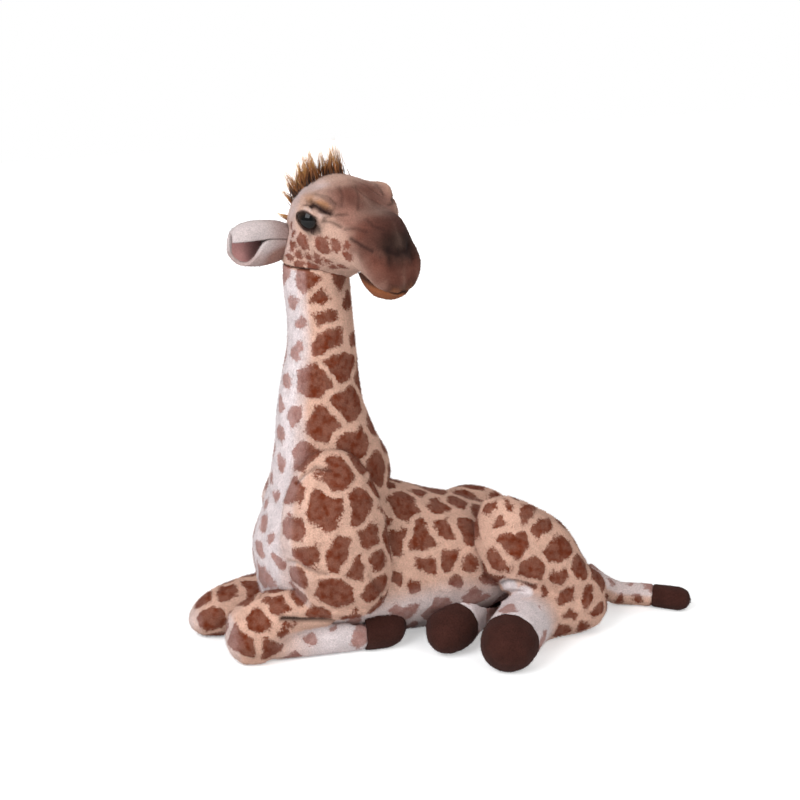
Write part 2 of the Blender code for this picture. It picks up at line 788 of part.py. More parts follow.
def eye_form(side, clearance=0):
    """A domed eye on a ribbed shank."""
    rows = []
    pitch = SHANK_LENGTH / (2 * SHANK_RIBS)
    for n in range(2 * SHANK_RIBS):
        rows.append((pitch * n - SHANK_LENGTH, SHANK_RADIUS + SHANK_RIB * (n % 2)))
    if clearance:
        rows = [(-SHANK_LENGTH - clearance, SHANK_RADIUS + SHANK_RIB)]
    neck = rows[-1][1]
    rows += [(-clearance, neck), (-clearance, EYE_RADIUS), (EYE_RIM, EYE_RADIUS)]
    for n in range(1, DOME_RINGS + 1):
        angle = math.radians(90) * n / DOME_RINGS
        size = EYE_RADIUS * math.cos(angle) if n < DOME_RINGS else 0
        rows.append((EYE_RIM + EYE_DOME * math.sin(angle), size))
    last = len(rows) - 1
    made = []
    for i, (height, size) in enumerate(rows):
        radius = size + clearance if i < last else 0
        made.append((Z_AXIS * (height + (clearance if i == last else 0)), radius, radius))
    return form_through(made, X_AXIS, EYE_SIDES).placed(eye_frame(side))


def washer_depth():
    """How deep under the eye its washer lies, clear of the curved inside of the skin."""
    curve = HEAD_WIDTH / 2 - SKIN
    return SKIN + GAP - EYE_SUNK + WASHER_RADIUS * WASHER_RADIUS / (2 * curve)


def washer_pocket(side, top):
    """The room for a washer and the end of its shank, from a height under the eye inwards."""
    bottom = -Z_AXIS * (SHANK_LENGTH + GAP)
    return rod(Z_AXIS * top, bottom, WASHER_RADIUS + GAP, EYE_SIDES, X_AXIS).placed(eye_frame(side))


def make_washer(side):
    """A flat ring on the eye's shank."""
    top = -washer_depth()
    bottom = top - WASHER_THICKNESS
    bore = SHANK_RADIUS + SHANK_RIB + GAP
    section = ((bore, top), (WASHER_RADIUS, top), (WASHER_RADIUS, bottom), (bore, bottom))
    frame = eye_frame(side)
    work = bmesh.new()
    rings = []
    for n in range(EYE_SIDES):
        out = Vector((math.cos(math.tau * n / EYE_SIDES), math.sin(math.tau * n / EYE_SIDES), 0))
        rings.append([work.verts.new(frame @ (out * radius + Z_AXIS * height)) for radius, height in section])
    for one, other in zip(rings, rings[1:] + rings[:1]):
        for n in range(len(section)):
            m = (n + 1) % len(section)
            panel(work, (one[n], one[m], other[m], other[n]))
    return new_object("eye_washer_" + SIDE_NAMES[side], work)


def lid_form(side):
    """A padded lid in an arc over the eye, tilted towards the muzzle."""
    rows = []
    last = len(LID_SHARES) - 1
    radius = EYE_RADIUS + LID_WIDTH / 3
    for i, share in enumerate(LID_SHARES):
        angle = math.radians(LID_REACH_DEG * (i / last - 1 / 2) + LID_TILT_DEG * side)
        middle = Vector((radius * math.sin(angle), radius * math.cos(angle), LID_LIFT))
        rows.append((middle, share * LID_WIDTH / 2, share * LID_THICKNESS / 2))
    return form_through(rows, Z_AXIS, LID_SIDES).placed(eye_frame(side))


def ear_frame(side):
    """Where an ear grows from the head: X along the ear, Y across it and Z out of its cup."""
    point, _ = on_head(-EAR_BEHIND, -EAR_DROP, side)
    sweep = math.radians(EAR_SWEEP_DEG)
    lift = math.radians(EAR_LIFT_DEG)
    along = Vector((-math.sin(sweep), -side * math.cos(sweep), math.tan(lift))).normalized()
    cup = (X_AXIS - along * along.x).normalized()
    axes = Matrix((along, cup.cross(along), cup)).transposed().to_4x4()
    return head_frame() @ Matrix.Translation(point) @ axes


def leaf(name, side, inset, lift, thickness):
    """A cupped leaf over the ear's faces but inset rows of them, lift in front of the ear's back."""
    frame = ear_frame(side)
    whole = EAR_LENGTH + EAR_SUNK
    sheets = [[], []]
    work = bmesh.new()
    for along, across, depth in resampled(EAR_SHARES, EAR_RINGS)[inset : EAR_RINGS - inset]:
        for sheet, height in zip(sheets, (lift, lift + thickness)):
            line = []
            for j in range(inset, EAR_ACROSS + 1 - inset):
                t = 2 * j / EAR_ACROSS - 1
                bowl = EAR_CUP * depth * (t * t - 1)
                point = Vector((along * whole - EAR_SUNK, EAR_WIDTH / 2 * across * t, bowl + height))
                line.append(work.verts.new(frame @ point))
            sheet.append(line)
    back, front = sheets
    for sheet in sheets:
        for one, other in zip(sheet, sheet[1:]):
            for j in range(len(one) - 1):
                panel(work, (one[j], one[j + 1], other[j + 1], other[j]))
    for back_edge, front_edge in zip(edges_of(back), edges_of(front)):
        for j in range(len(back_edge) - 1):
            panel(work, (back_edge[j], back_edge[j + 1], front_edge[j + 1], front_edge[j]))
    return new_object(name, work)


def edges_of(sheet):
    """The four edges of a sheet of points."""
    return sheet[0], sheet[-1], [line[0] for line in sheet], [line[-1] for line in sheet]


def make_mane():
    """A crest of long pile on its strip, round the middle line of the skull."""
    frame = head_frame()
    rings = []
    for along, height, width in resampled(MANE_SHARES, MANE_RINGS):
        angle = math.radians(MANE_FROM_DEG + (MANE_TO_DEG - MANE_FROM_DEG) * along)
        out = Vector((math.cos(angle), 0, math.sin(angle)))
        foot = Vector((out.x * SKULL_BACK, 0, out.z * HEAD_HEIGHT / 2)) - out * MANE_SUNK
        ring = []
        for across, up in MANE_SECTION_SHARES:
            rise = out * up * (MANE_HEIGHT * height + MANE_SUNK)
            ring.append(frame @ (foot + rise + Y_AXIS * across * width * MANE_WIDTH))
        rings.append(ring)
    return new_object("mane", skinned(rings))


def resampled(table, count):
    """A table of shares along a piece, read at even steps along it."""
    rows = smooth_rows([(*row, 1, 1) for row in table], count)
    return [row[:3] for row in rows]


NECK_SEAM = Seam(NECK_PIVOT, Y_AXIS, -NECK_BEND_DEG, NECK_BEND_DEG)
HEAD_SEAM = Seam(SKULL, Z_AXIS, -HEAD_SWING_DEG, HEAD_SWING_DEG)


def ear_seam(side):
    frame = ear_frame(side)
    axis = (frame.to_3x3() @ Y_AXIS).normalized()
    return Seam(frame @ (-X_AXIS * EAR_SEAM_SUNK), axis, -EAR_FLAP_DEG, EAR_FLAP_DEG)


def foreleg_seam(side):
    """A fore-and-aft axis at the top of the shoulder seam: the leg lifts away from the flank."""
    shoulder = Vector((arm_back(side), side * FORELEG_SEAM_OUT, FORELEG_SEAM_HEIGHT))
    return Seam(shoulder, X_AXIS * side, 0, FORELEG_LIFT_DEG)


def hindleg_seam(side):
    """The left leg lifts at the hip. The right lower leg swings along the floor at its hock."""
    if side == LEFT:
        hip = Vector((THIGH_START + THIGH_LENGTH / 2, -HINDLEG_SEAM_OUT, HINDLEG_SEAM_HEIGHT))
        return Seam(hip, -X_AXIS, 0, HINDLEG_LIFT_DEG)
    return Seam(Vector((RIGHT_HOCK_BACK, RIGHT_HOCK_OUT, 0)), -Z_AXIS, 0, HINDLEG_SWING_DEG)


def tail_seam():
    root = Vector((TAIL_ROOT_BACK, -TAIL_ROOT_OUT, TAIL_ROOT_HEIGHT))
    return Seam(root, Z_AXIS, -TAIL_SWING_IN_DEG, TAIL_SWING_OUT_DEG)


def pouch_form():
    origin = Vector((POUCH_BEHIND_CHEST - CHEST_AHEAD, 0, SKIN + GAP))
    spans = (POUCH_LENGTH, POUCH_WIDTH, POUCH_HEIGHT)
    return form_of(
        POUCH_SHARES, origin, spans, POUCH_WIDTH, POUCH_HEIGHT, Z_AXIS, POUCH_RINGS, POUCH_SIDES
    )


def stuffed(skins, filling_name, whole, cutters, openings=()):
    """Skins over one filling. Each skin is a length of the whole form, and all are cut alike."""
    made = []
    for name, forms in skins:
        others = [united("hollow", plain(whole, SKIN)), floor_cutter()]
        others += [solid("opening", form) for form in openings]
        made.append(cut(united(name, forms), others + all_cutters(cutters)))
    filling = united(filling_name, plain(whole, SKIN + GAP))
    made.append(cut(filling, all_cutters(cutters)) if cutters else filling)
    return made


def all_cutters(cutters):
    return [cutter for form, turns in cutters for cutter in round_about(form, turns)]


def make_torso():
    """The body's skin, open under the neck, with its filling and the pellet pouch."""
    forms = body_forms()
    top = NECK_PIVOT + Z_AXIS * (NECK_BALL_RADIUS + OVERRUN)
    hole = rod(NECK_PIVOT, top, FILLING_HOLE_RADIUS, NECK_SIDES, X_AXIS)
    skin, filling = stuffed([("torso_skin", forms)], "torso_filling", forms, (), [hole])
    pouch = solid("pellet_pouch", pouch_form())
    combine(pouch, [united("inside", plain(forms, SKIN + GAP))], "INTERSECT")
    cut(filling, round_about(pouch_form()))
    return [skin, filling, pouch]


def make_neck():
    """The neck's skin and filling: hollow below over the body's ball, and above under the skull."""
    socket = ball(NECK_PIVOT, NECK_BALL_RADIUS / math.cos(math.pi / SOCKET_SIDES) ** 2, SOCKET_SIDES)
    dip = ball(SKULL, skull_depth() + NECK_DIP_CLEARANCE, NECK_SIDES)
    cutters = [(body_forms()[0], NECK_SEAM.turns(-1)), (socket, STILL)]
    cutters += [(head_form(), HEAD_SEAM.turns(1)), (dip, STILL)]
    form = [neck_form()]
    return stuffed([("neck_skin", form)], "neck_filling", form, cutters)


def make_head():
    """The head's skin, open under the skull, with its filling, washers, eyes, lids, jaw and mane."""
    form = head_form()
    hole = rod(SKULL, SKULL - Z_AXIS * HEAD_HEIGHT, FILLING_HOLE_RADIUS, NECK_SIDES, X_AXIS)
    openings = [hole]
    pockets = []
    for side in SIDE_NAMES:
        openings += [eye_form(side, GAP), washer_pocket(side, GAP - washer_depth())]
        pockets.append(solid("pocket", washer_pocket(side, WASHER_RADIUS)))
    skin, filling = stuffed([("head_skin", [form])], "head_filling", [form], (), openings)
    made = [skin, cut(filling, pockets)]
    made.append(cut(make_mane(), round_about(form)))
    made.append(cut(solid("lower_jaw", jaw_form()), round_about(form)))
    for side, name in SIDE_NAMES.items():
        made += [solid("eye_" + name, eye_form(side)), make_washer(side)]
        others = [*round_about(form), solid("socket", eye_form(side, GAP))]
        made.append(cut(solid("eyelid_" + name, lid_form(side)), others))
    return made


def make_ear(side):
    """An ear of plush and the lining in its cup."""
    ear = leaf("ear_" + SIDE_NAMES[side], side, 0, 0, EAR_THICKNESS)
    lining = leaf("ear_lining_" + SIDE_NAMES[side], side, LINING_INSET, EAR_THICKNESS + GAP, EAR_LINING)
    return [cut(piece, round_about(head_form(), ear_seam(side).turns(-1))) for piece in (ear, lining)]


def make_foreleg(side):
    """Upper foreleg, forearm, cannon and hoof, with their fillings."""
    name = "foreleg_" + SIDE_NAMES[side]
    lifts = foreleg_seam(side).turns(-1)
    bends = [lift @ bend for lift in lifts for bend in NECK_SEAM.turns(1)]
    long, neck_ball = body_forms()
    cutters = [(long, lifts), (neck_ball, lifts), (neck_form(), bends)]
    arm = arm_form(side)
    forearm = forearm_form(side)
    lower = whole_cannon(side)
    cannon, hoof = lower.split(FORE_HOOF_FROM_SHARE)
    made = stuffed([(name + "_upper", [arm])], name + "_upper_filling", [arm], cutters)
    cutters = [(long, lifts), (arm, STILL)]
    made += stuffed([(name + "_forearm", [forearm])], name + "_forearm_filling", [forearm], cutters)
    cutters.append((forearm, STILL))
    skins = [(name + "_cannon", [cannon]), (name + "_hoof", [hoof])]
    return made + stuffed(skins, name + "_lower_filling", [lower], cutters)


def make_thigh(side):
    """A thigh and its filling: the left one lifts with its leg, the right one stays."""
    name = "hindleg_" + SIDE_NAMES[side] + "_thigh"
    turns = hindleg_seam(side).turns(-1) if side == LEFT else STILL
    form = [thigh_form(side)]
    return stuffed([(name, form)], name + "_filling", form, [(body_forms()[0], turns)])


def make_shank(side):
    """A lower hind leg with its hoof and their filling."""
    name = "hindleg_" + SIDE_NAMES[side]
    turns = hindleg_seam(side).turns(-1)
    cutters = [(body_forms()[0], turns), (thigh_form(side), STILL if side == LEFT else turns)]
    if side == RIGHT:
        cutters += [(thigh_form(LEFT), turns), (whole_shank(LEFT), turns)]
    whole = whole_shank(side)
    shank, hoof = whole.split(HIND_HOOF_FROM_SHARE)
    skins = [(name + "_shank", [shank]), (name + "_hoof", [hoof])]
    return stuffed(skins, name + "_lower_filling", [whole], cutters)


def make_tail():
    turns = tail_seam().turns(-1)
    cutters = [(form, turns) for form in (body_forms()[0], thigh_form(LEFT), whole_shank(LEFT))]
    whole = whole_tail()
    tail, tip = whole.split(TAIL_END_FROM_SHARE)
    return stuffed([("tail", [tail]), ("tail_tip", [tip])], "tail_filling", [whole], cutters)


def material(name, colour, roughness, metallic=0):
    made = bpy.data.materials.new(name)
    made.use_nodes = True
    surface = made.node_tree.nodes["Principled BSDF"]
    surface.inputs["Base Color"].default_value = (*colour, 1)
    surface.inputs["Roughness"].default_value = roughness
    surface.inputs["Metallic"].default_value = metallic
    return made


def make_materials():
    return {
        "spotted plush": material("spotted plush", (0.60, 0.38, 0.22), 0.95),
        "pale plush": material("pale plush", (0.72, 0.62, 0.60), 0.95),
        "brown plush": material("brown plush", (0.24, 0.11, 0.05), 0.95),
        "hoof plush": material("hoof plush", (0.07, 0.028, 0.022), 0.95),
        "mane pile": material("mane pile", (0.35, 0.19, 0.06), 0.90),
        "ear lining": material("ear lining", (0.55, 0.36, 0.33), 0.90),
        "polyester filling": material("polyester filling", (0.85, 0.85, 0.85), 1.0),
        "pouch cloth": material("pouch cloth", (0.50, 0.50, 0.48), 0.85),
        "eye plastic": material("eye plastic", (0.01, 0.008, 0.008), 0.05),
        "washer plastic": material("washer plastic", (0.75, 0.75, 0.72), 0.50),
    }


# the first of these words that a node's name holds says what the piece is made of
MATERIAL_WORDS = (
    ("filling", "polyester filling"),
    ("pouch", "pouch cloth"),
    ("washer", "washer plastic"),
    ("eyelid", "brown plush"),
    ("eye", "eye plastic"),
    ("lining", "ear lining"),
    ("mane", "mane pile"),
    ("hoof", "hoof plush"),
    ("tip", "hoof plush"),
    ("jaw", "brown plush"),
    ("cannon", "pale plush"),
    ("ear_", "pale plush"),
    ("", "spotted plush"),
)
SMOOTH_WITHIN_DEG = 40.0


def finish(piece, materials):
    word = next(name for word, name in MATERIAL_WORDS if word in piece.name)
    piece.data.materials.clear()
    piece.data.materials.append(materials[word])
    piece.data.shade_smooth()
    piece.data.set_sharp_from_angle(angle=math.radians(SMOOTH_WITHIN_DEG))


def hang(name, pivot, pieces, parent=None):
    """An empty on a seam's axis, with the pieces that move with it."""
    empty = bpy.data.objects.new(name, None)
    empty.empty_display_size = EYE_RADIUS
    bpy.context.scene.collection.objects.link(empty)
    empty.parent = parent
    empty.location = pivot - (parent.matrix_world.translation if parent else Vector())
    bpy.context.view_layer.update()
    for piece in pieces:
        piece.data.transform(Matrix.Translation(-pivot))
        piece.parent = empty
    return empty


def main():
    for old in list(bpy.data.objects):
        bpy.data.objects.remove(old)
    torso = make_torso() + make_thigh(RIGHT)
    neck = make_neck()
    head = make_head()
    ears = {side: make_ear(side) for side in SIDE_NAMES}
    forelegs = {side: make_foreleg(side) for side in SIDE_NAMES}
    left_hind = make_thigh(LEFT) + make_shank(LEFT)
    right_hind = make_shank(RIGHT)
    tail = make_tail()
    materials = make_materials()
    moving = [neck, head, *ears.values(), *forelegs.values(), left_hind, right_hind, tail]
    for piece in [*torso, *(piece for group in moving for piece in group)]:
        finish(piece, materials)
    neck_seam = hang("neck_seam", NECK_PIVOT, neck)
    head_seam = hang("head_seam", SKULL, head, neck_seam)
    for side, name in SIDE_NAMES.items():
        hang("ear_seam_" + name, ear_seam(side).pivot, ears[side], head_seam)
        hang("foreleg_seam_" + name, foreleg_seam(side).pivot, forelegs[side])
    hang("hindleg_seam_left", hindleg_seam(LEFT).pivot, left_hind)
    hang("hindleg_seam_right", hindleg_seam(RIGHT).pivot, right_hind)
    hang("tail_seam", tail_seam().pivot, tail)


main()
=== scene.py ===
"""Looks for a lying plush giraffe: plush skins with their pile, glossy eyes, ears and a tufted mane.

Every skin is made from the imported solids: they are merged, meshed evenly, smoothed and then shaped by
small bumps, dents and folds. All lengths are in metres, in the frame's own axes: the giraffe faces -X,
its left side is -Y and +Z is up. Where ramp takes a named pair of values, a smooth rise starts at the
first and ends at the second, which may be the smaller one.
"""

import json
import math

import bmesh
import bpy
import numpy as np
from mathutils import Matrix, Vector
from mathutils.bvhtree import BVHTree


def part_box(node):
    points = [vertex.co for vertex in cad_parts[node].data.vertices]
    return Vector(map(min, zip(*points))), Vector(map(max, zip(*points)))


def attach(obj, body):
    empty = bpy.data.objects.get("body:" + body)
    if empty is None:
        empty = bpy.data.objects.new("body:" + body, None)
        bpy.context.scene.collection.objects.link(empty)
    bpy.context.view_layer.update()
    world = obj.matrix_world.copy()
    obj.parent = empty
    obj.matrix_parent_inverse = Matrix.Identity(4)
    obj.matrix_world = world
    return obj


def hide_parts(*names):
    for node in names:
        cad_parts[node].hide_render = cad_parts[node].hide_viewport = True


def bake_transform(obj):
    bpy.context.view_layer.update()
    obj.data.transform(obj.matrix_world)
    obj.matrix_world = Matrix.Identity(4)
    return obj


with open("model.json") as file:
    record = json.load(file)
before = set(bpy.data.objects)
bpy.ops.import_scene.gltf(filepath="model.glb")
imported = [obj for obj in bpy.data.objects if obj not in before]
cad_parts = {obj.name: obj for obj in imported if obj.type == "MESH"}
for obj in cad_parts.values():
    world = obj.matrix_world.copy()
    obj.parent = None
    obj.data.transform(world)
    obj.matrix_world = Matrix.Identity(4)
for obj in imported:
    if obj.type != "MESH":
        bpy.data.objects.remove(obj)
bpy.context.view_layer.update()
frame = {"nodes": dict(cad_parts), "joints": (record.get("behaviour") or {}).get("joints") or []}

NODES = frame["nodes"]
JOINT_PLACES = {joint["name"]: Vector(joint["pos_m"]) for joint in frame["joints"]}
SIDES = ("left", "right")
MM = 0.001
MM2_PER_M2 = 1e6
TINY = 1e-6

# Camera: it looks at VIEW_TARGET, and a pixel there is PIXEL_SIZE wide
VIEW_AZIMUTH_DEG = -20.0
VIEW_ELEVATION_DEG = 18.0
VIEW_DISTANCE = 1.6
VIEW_TARGET = Vector((-0.0139, 0.0548, 0.1439))
PIXEL_SIZE = 0.0007
PICTURE_PIXELS = 800
SENSOR_MM = 36.0
CLIP_END = 20.0

# Head: its own axes are forward to the muzzle, left and up, from the middle of the skull
SKULL = JOINT_PLACES["head_turn"]
HEAD_YAW_DEG = -68.0
HEAD_NOD_DEG = 8.0
MIRRORED = (1, -1, 1)

# How finely each skin is meshed, and how many rounds it is smoothed
BODY_MESH = (1.4 * MM, 60)
LEG_MESH = (1.1 * MM, 26)
HOOF_MESH = (0.9 * MM, 30)
TAIL_MESH = (0.9 * MM, 16)
TAIL_TIP_MESH = (0.9 * MM, 14)
HEAD_MESH = (0.8 * MM, 36)
JAW_MESH = (0.7 * MM, 8)
SMOOTH_FACTOR = 0.5
PLUG_DETAIL = 4

# Pile: how it leans and strays, and the shares of its length that blades have
PILE_WIDTH = 0.00030
PILE_PER_MM2 = 1.7
PILE_LEAN = 1.5
PILE_JITTER = 0.42
PILE_SHADING_JITTER = 0.16
PILE_LENGTH_SHARES = (0.65, 1.2)
STEEPEST_LAY = 0.2
FINE_PILE = 1.3
DOWN_AND_BACK = (0.45, 0.0, -1.0)
ALONG_TAIL = (1.0, -0.6, -0.2)

# Spots: half the width of the pale net between them, and how far their outlines wander
NET_HALF_WIDTH = 0.0023
FACE_NET_HALF_WIDTH = 0.8 * MM
REACH_FACTOR = 1.06
FACE_REACH_FACTOR = 1.22
GROWN_REACH_SHARE = 0.8
REACH_WEIGHT = 0.35
WANDER = 0.0026
WANDER_SIZE = 0.011
FINE_WANDER_SIZE_SHARE = 0.35
FINE_WANDER_SHARE = 0.4
FINE_WANDER_SEEDS = 7
FACE_WANDER = 0.4
DAB_WANDER = 0.6
DAB_SHARPNESS = 0.8
WAVE_COUNT = 7
WAVE_RATES = (0.7, 1.5)
FIELD_BLOCK = 20000

# Where the skin misses a pixel's ray, its nearest point to these stops along the ray is taken
RAY_STOPS = 120
RAY_FROM_SHARE = 0.8
RAY_SPAN_SHARE = 0.4
FOLD_STEP = 1.5

# Seeds of the random draws: grown spots, wandering outlines and pile
BODY_SEEDS = (11, 21, 31)
FORELEG_SEEDS = (12, 22, 32)
HINDLEG_SEEDS = (13, 23, 34)
TAIL_SEEDS = (14, 24, 35)
HOOF_PILE_SEED = 33
TAIL_TIP_PILE_SEED = 36
HEAD_SEEDS = (45, 25, 37)
JAW_PILE_SEED = 38
EAR_PILE_SEED = 40
MANE_SEED = 41
BELLY_SEED = 3
CREASE_SEED = 8

# How far apart the grown spots lie
BODY_SPACING = 0.021
LEG_SPACING = 0.020
TAIL_SPACING = 0.016

# Where the spots of each skin lie in the photograph: pixels across and down, then the reach in pixels
BODY_SPOTS = (
    (306, 282, 12), (338, 281, 12), (323, 297, 16), (293, 300, 6), (347, 300, 8), (325, 315, 13),
    (299, 323, 7), (328, 338, 16), (354, 340, 9), (298, 350, 8), (344, 366, 17), (309, 380, 17),
    (286, 380, 7), (349, 402, 18), (321, 424, 18), (294, 416, 9), (281, 404, 7), (354, 444, 20),
    (371, 424, 12), (306, 460, 17), (280, 436, 7), (281, 462, 8), (376, 470, 17), (395, 474, 14),
    (404, 506, 22), (383, 524, 15), (436, 503, 14), (456, 502, 13), (396, 537, 14), (423, 538, 18),
    (444, 529, 14), (466, 530, 14), (424, 565, 15), (451, 558, 13), (468, 564, 10), (394, 578, 8),
    (416, 584, 9), (456, 580, 9), (267, 502, 7), (263, 523, 8), (260, 548, 8), (270, 540, 7),
    (277, 563, 7), (275, 495, 7), (272, 478, 6), (420, 494, 12),
)
LEFT_FORELEG_SPOTS = (
    (338, 473, 20), (292, 493, 13), (325, 510, 24), (360, 508, 18), (373, 535, 16), (297, 530, 15),
    (308, 553, 16), (337, 557, 18), (359, 567, 14), (375, 562, 13), (376, 588, 15), (336, 593, 21),
    (297, 577, 11), (299, 595, 13), (273, 578, 13), (277, 602, 17), (260, 619, 16), (242, 597, 13),
    (226, 619, 10), (242, 642, 15), (272, 650, 13), (292, 655, 10), (285, 630, 8), (317, 614, 12),
    (312, 640, 9), (334, 629, 7), (376, 484, 15),
)
RIGHT_FORELEG_SPOTS = ((205, 598, 13), (227, 590, 12), (210, 618, 13), (247, 588, 12))
LEFT_HINDLEG_SPOTS = (
    (490, 508, 10), (502, 518, 12), (508, 507, 11), (514, 497, 12), (528, 509, 15), (541, 528, 18),
    (511, 542, 20), (554, 551, 18), (498, 558, 15), (559, 518, 10), (532, 570, 17), (580, 566, 14),
    (558, 578, 16), (565, 595, 12), (585, 596, 13), (570, 616, 10), (597, 608, 9), (584, 626, 9),
    (542, 590, 8), (528, 589, 8), (504, 597, 9), (540, 608, 7), (562, 630, 10),
)
RIGHT_HINDLEG_SPOTS = ((486, 584, 12), (470, 592, 8))
HEAD_SPOTS = (
    (302, 244, 8), (324, 246, 8), (337, 246, 6), (348, 257, 5), (299, 254, 4), (318, 260, 7),
    (313, 267, 5), (300, 266, 5), (334, 267, 5), (292, 226, 3), (293, 233, 3), (306, 275, 6),
    (322, 274, 5), (327, 261, 4), (331, 277, 4), (343, 267, 4), (309, 257, 4), (293, 246, 4),
    (346, 246, 4), (290, 257, 4),
)
TAIL_SPOTS = ((606, 596, 7), (620, 600, 7), (635, 600, 6), (628, 583, 4), (612, 583, 4))

# Tones of the face and ears, and where they lie: pixels across and down, reach in pixels, tone, strength
TONES = {
    "grey": (0.60, 0.475, 0.46),
    "skin": (0.58, 0.37, 0.29),
    "rose": (0.30, 0.145, 0.110),
    "red": (0.135, 0.042, 0.028),
    "brown": (0.068, 0.022, 0.016),
    "dark": (0.011, 0.005, 0.004),
    "gold": (0.40, 0.18, 0.07),
    "ginger": (0.36, 0.12, 0.045),
    "white": (0.76, 0.68, 0.68),
}
# In these dabs, the dark ones just under the eye are partly the dark plush there and partly painted shade
# under the eyeball, and the two dark ones on the mouth's line are a painted shadow in the mouth's opening
HEAD_DABS = (
    (296, 196, 12, "grey", 0.95), (293, 212, 9, "grey", 0.9), (292, 232, 8, "grey", 0.6),
    (305, 190, 10, "grey", 0.9), (318, 186, 9, "grey", 0.75), (288, 250, 8, "grey", 0.5),
    (332, 196, 10, "rose", 0.80), (334, 208, 8, "rose", 0.7), (345, 192, 11, "rose", 0.85),
    (346, 206, 10, "rose", 0.85), (358, 190, 12, "red", 0.75), (358, 206, 12, "red", 0.75),
    (372, 192, 12, "red", 0.75), (372, 208, 12, "brown", 0.6), (384, 200, 9, "rose", 0.6),
    (388, 216, 12, "brown", 0.75), (376, 222, 13, "brown", 0.8), (396, 224, 11, "brown", 0.85),
    (364, 226, 12, "red", 0.85), (352, 222, 9, "rose", 0.85), (344, 216, 8, "rose", 0.7),
    (372, 240, 14, "brown", 0.8), (358, 238, 10, "red", 0.85), (386, 236, 13, "brown", 0.85),
    (352, 250, 7, "rose", 0.6), (364, 254, 11, "brown", 0.8), (376, 262, 13, "red", 0.9),
    (390, 272, 14, "red", 0.85), (405, 264, 12, "red", 0.85), (412, 258, 9, "red", 0.7),
    (378, 278, 11, "red", 0.75), (398, 282, 11, "red", 0.7), (412, 280, 10, "red", 0.75),
    (392, 246, 12, "dark", 0.50), (398, 240, 9, "dark", 0.35), (400, 254, 9, "dark", 0.6),
    (390, 256, 9, "dark", 0.45), (407, 240, 8, "dark", 0.35), (384, 248, 8, "dark", 0.3),
    (354, 266, 7, "skin", 0.9), (358, 273, 6, "skin", 0.9), (347, 262, 6, "skin", 0.7),
    (312, 201, 5, "gold", 0.8), (319, 203, 5, "gold", 0.85), (325, 206, 4, "gold", 0.7),
    (306, 199, 5, "gold", 0.4), (306, 208, 3, "white", 0.3), (313, 211, 3, "white", 0.3),
    (320, 215, 3, "white", 0.3), (313, 206, 3, "brown", 0.6), (319, 209, 4, "brown", 0.8),
    (325, 211, 4, "brown", 0.8), (306, 227, 5, "dark", 0.8), (312, 229, 5, "dark", 0.9),
    (318, 227, 5, "dark", 0.9), (323, 222, 3, "dark", 0.6), (393, 291, 6, "dark", 0.7),
    (402, 291, 6, "dark", 0.8), (395, 250, 13, "dark", 0.3),
    (392, 299, 5, "ginger", 0.95), (398, 300, 5, "ginger", 0.95), (404, 298, 4, "ginger", 0.9),
)
FAR_DABS = ((392, 190, 6, "skin", 0.8), (396, 203, 6, "skin", 0.8))

# Folds of the cloth: reach in pixels, how far the cloth moves out, how much painted shade darkens it, and
# the pixels along each
HEAD_FOLDS = (
    (2.9, -0.0024, 1.0, ((305, 203), (311, 204), (318, 208), (325, 211), (331, 213))),
    (4.5, 0.0020, 0.0, ((304, 198), (313, 198), (322, 202), (330, 207))),
    (1.5, -0.0008, 0.45, ((324, 218), (335, 215), (347, 214))),
    (1.5, -0.0008, 0.5, ((323, 221), (332, 222), (341, 227))),
    (1.4, -0.0006, 0.4, ((318, 194), (328, 196), (336, 204))),
    (1.4, -0.0006, 0.35, ((340, 186), (343, 196), (342, 206))),
    (1.4, -0.0006, 0.3, ((356, 186), (360, 198), (358, 210))),
    (1.7, -0.0010, 0.7, ((351, 239), (362, 246), (372, 251))),
    (1.5, -0.0008, 0.4, ((345, 229), (356, 228), (366, 232))),
    (1.5, -0.0008, 0.35, ((366, 218), (374, 226), (384, 229))),
    (4.2, -0.0018, 0.75, ((390, 250), (397, 254), (403, 252))),
    (1.6, -0.0008, 0.5, ((353, 277), (361, 282), (369, 285))),
    (2.2, -0.0014, 1.0, ((382, 292), (390, 294), (398, 295), (406, 292))),
)
LEFT_FORELEG_FOLDS = (
    (2.6, -0.0060, 1.0, ((283, 619), (300, 621), (330, 621), (360, 620), (388, 616))),
    (3.2, 0.0014, 0.0, ((283, 611), (300, 612), (330, 613), (360, 612), (384, 608))),
    (2.0, -0.0014, 0.35, ((297, 482), (304, 474), (316, 466), (330, 470))),
    (2.2, -0.0016, 0.30, ((281, 560), (296, 563), (310, 571), (326, 575))),
    (2.4, -0.0012, 0.20, ((370, 575), (380, 590), (384, 604))),
)
LEFT_HINDLEG_FOLDS = (
    (2.0, -0.0018, 0.55, ((488, 596), (493, 590), (499, 584), (508, 581), (520, 582), (532, 586))),
    (2.6, 0.0012, 0.0, ((494, 597), (501, 590), (510, 587), (520, 588), (530, 592))),
)


# Views and the head's axes


def axes_of(azimuth_deg, elevation_deg):
    """Right, up and back of a view."""
    a, e = math.radians(azimuth_deg), math.radians(elevation_deg)
    back = Vector((math.sin(a) * math.cos(e), -math.cos(a) * math.cos(e), math.sin(e)))
    right = Vector((math.cos(a), math.sin(a), 0))
    return right, back.cross(right), back


VIEW_RIGHT, VIEW_UP, VIEW_BACK = axes_of(VIEW_AZIMUTH_DEG, VIEW_ELEVATION_DEG)
VIEW_POINT = VIEW_TARGET + VIEW_BACK * VIEW_DISTANCE


def head_axes():
    """Rows: the head's forward, left and up directions."""
    yaw, nod = math.radians(HEAD_YAW_DEG), math.radians(HEAD_NOD_DEG)
    forward = Vector((math.cos(yaw) * math.cos(nod), math.sin(yaw) * math.cos(nod), -math.sin(nod)))
    left = Vector((-math.sin(yaw), math.cos(yaw), 0))
    return np.array([forward, left, forward.cross(left)])


HEAD_AXES = head_axes()
AHEAD = Vector(HEAD_AXES[0])
HEAD_UP = Vector(HEAD_AXES[2])


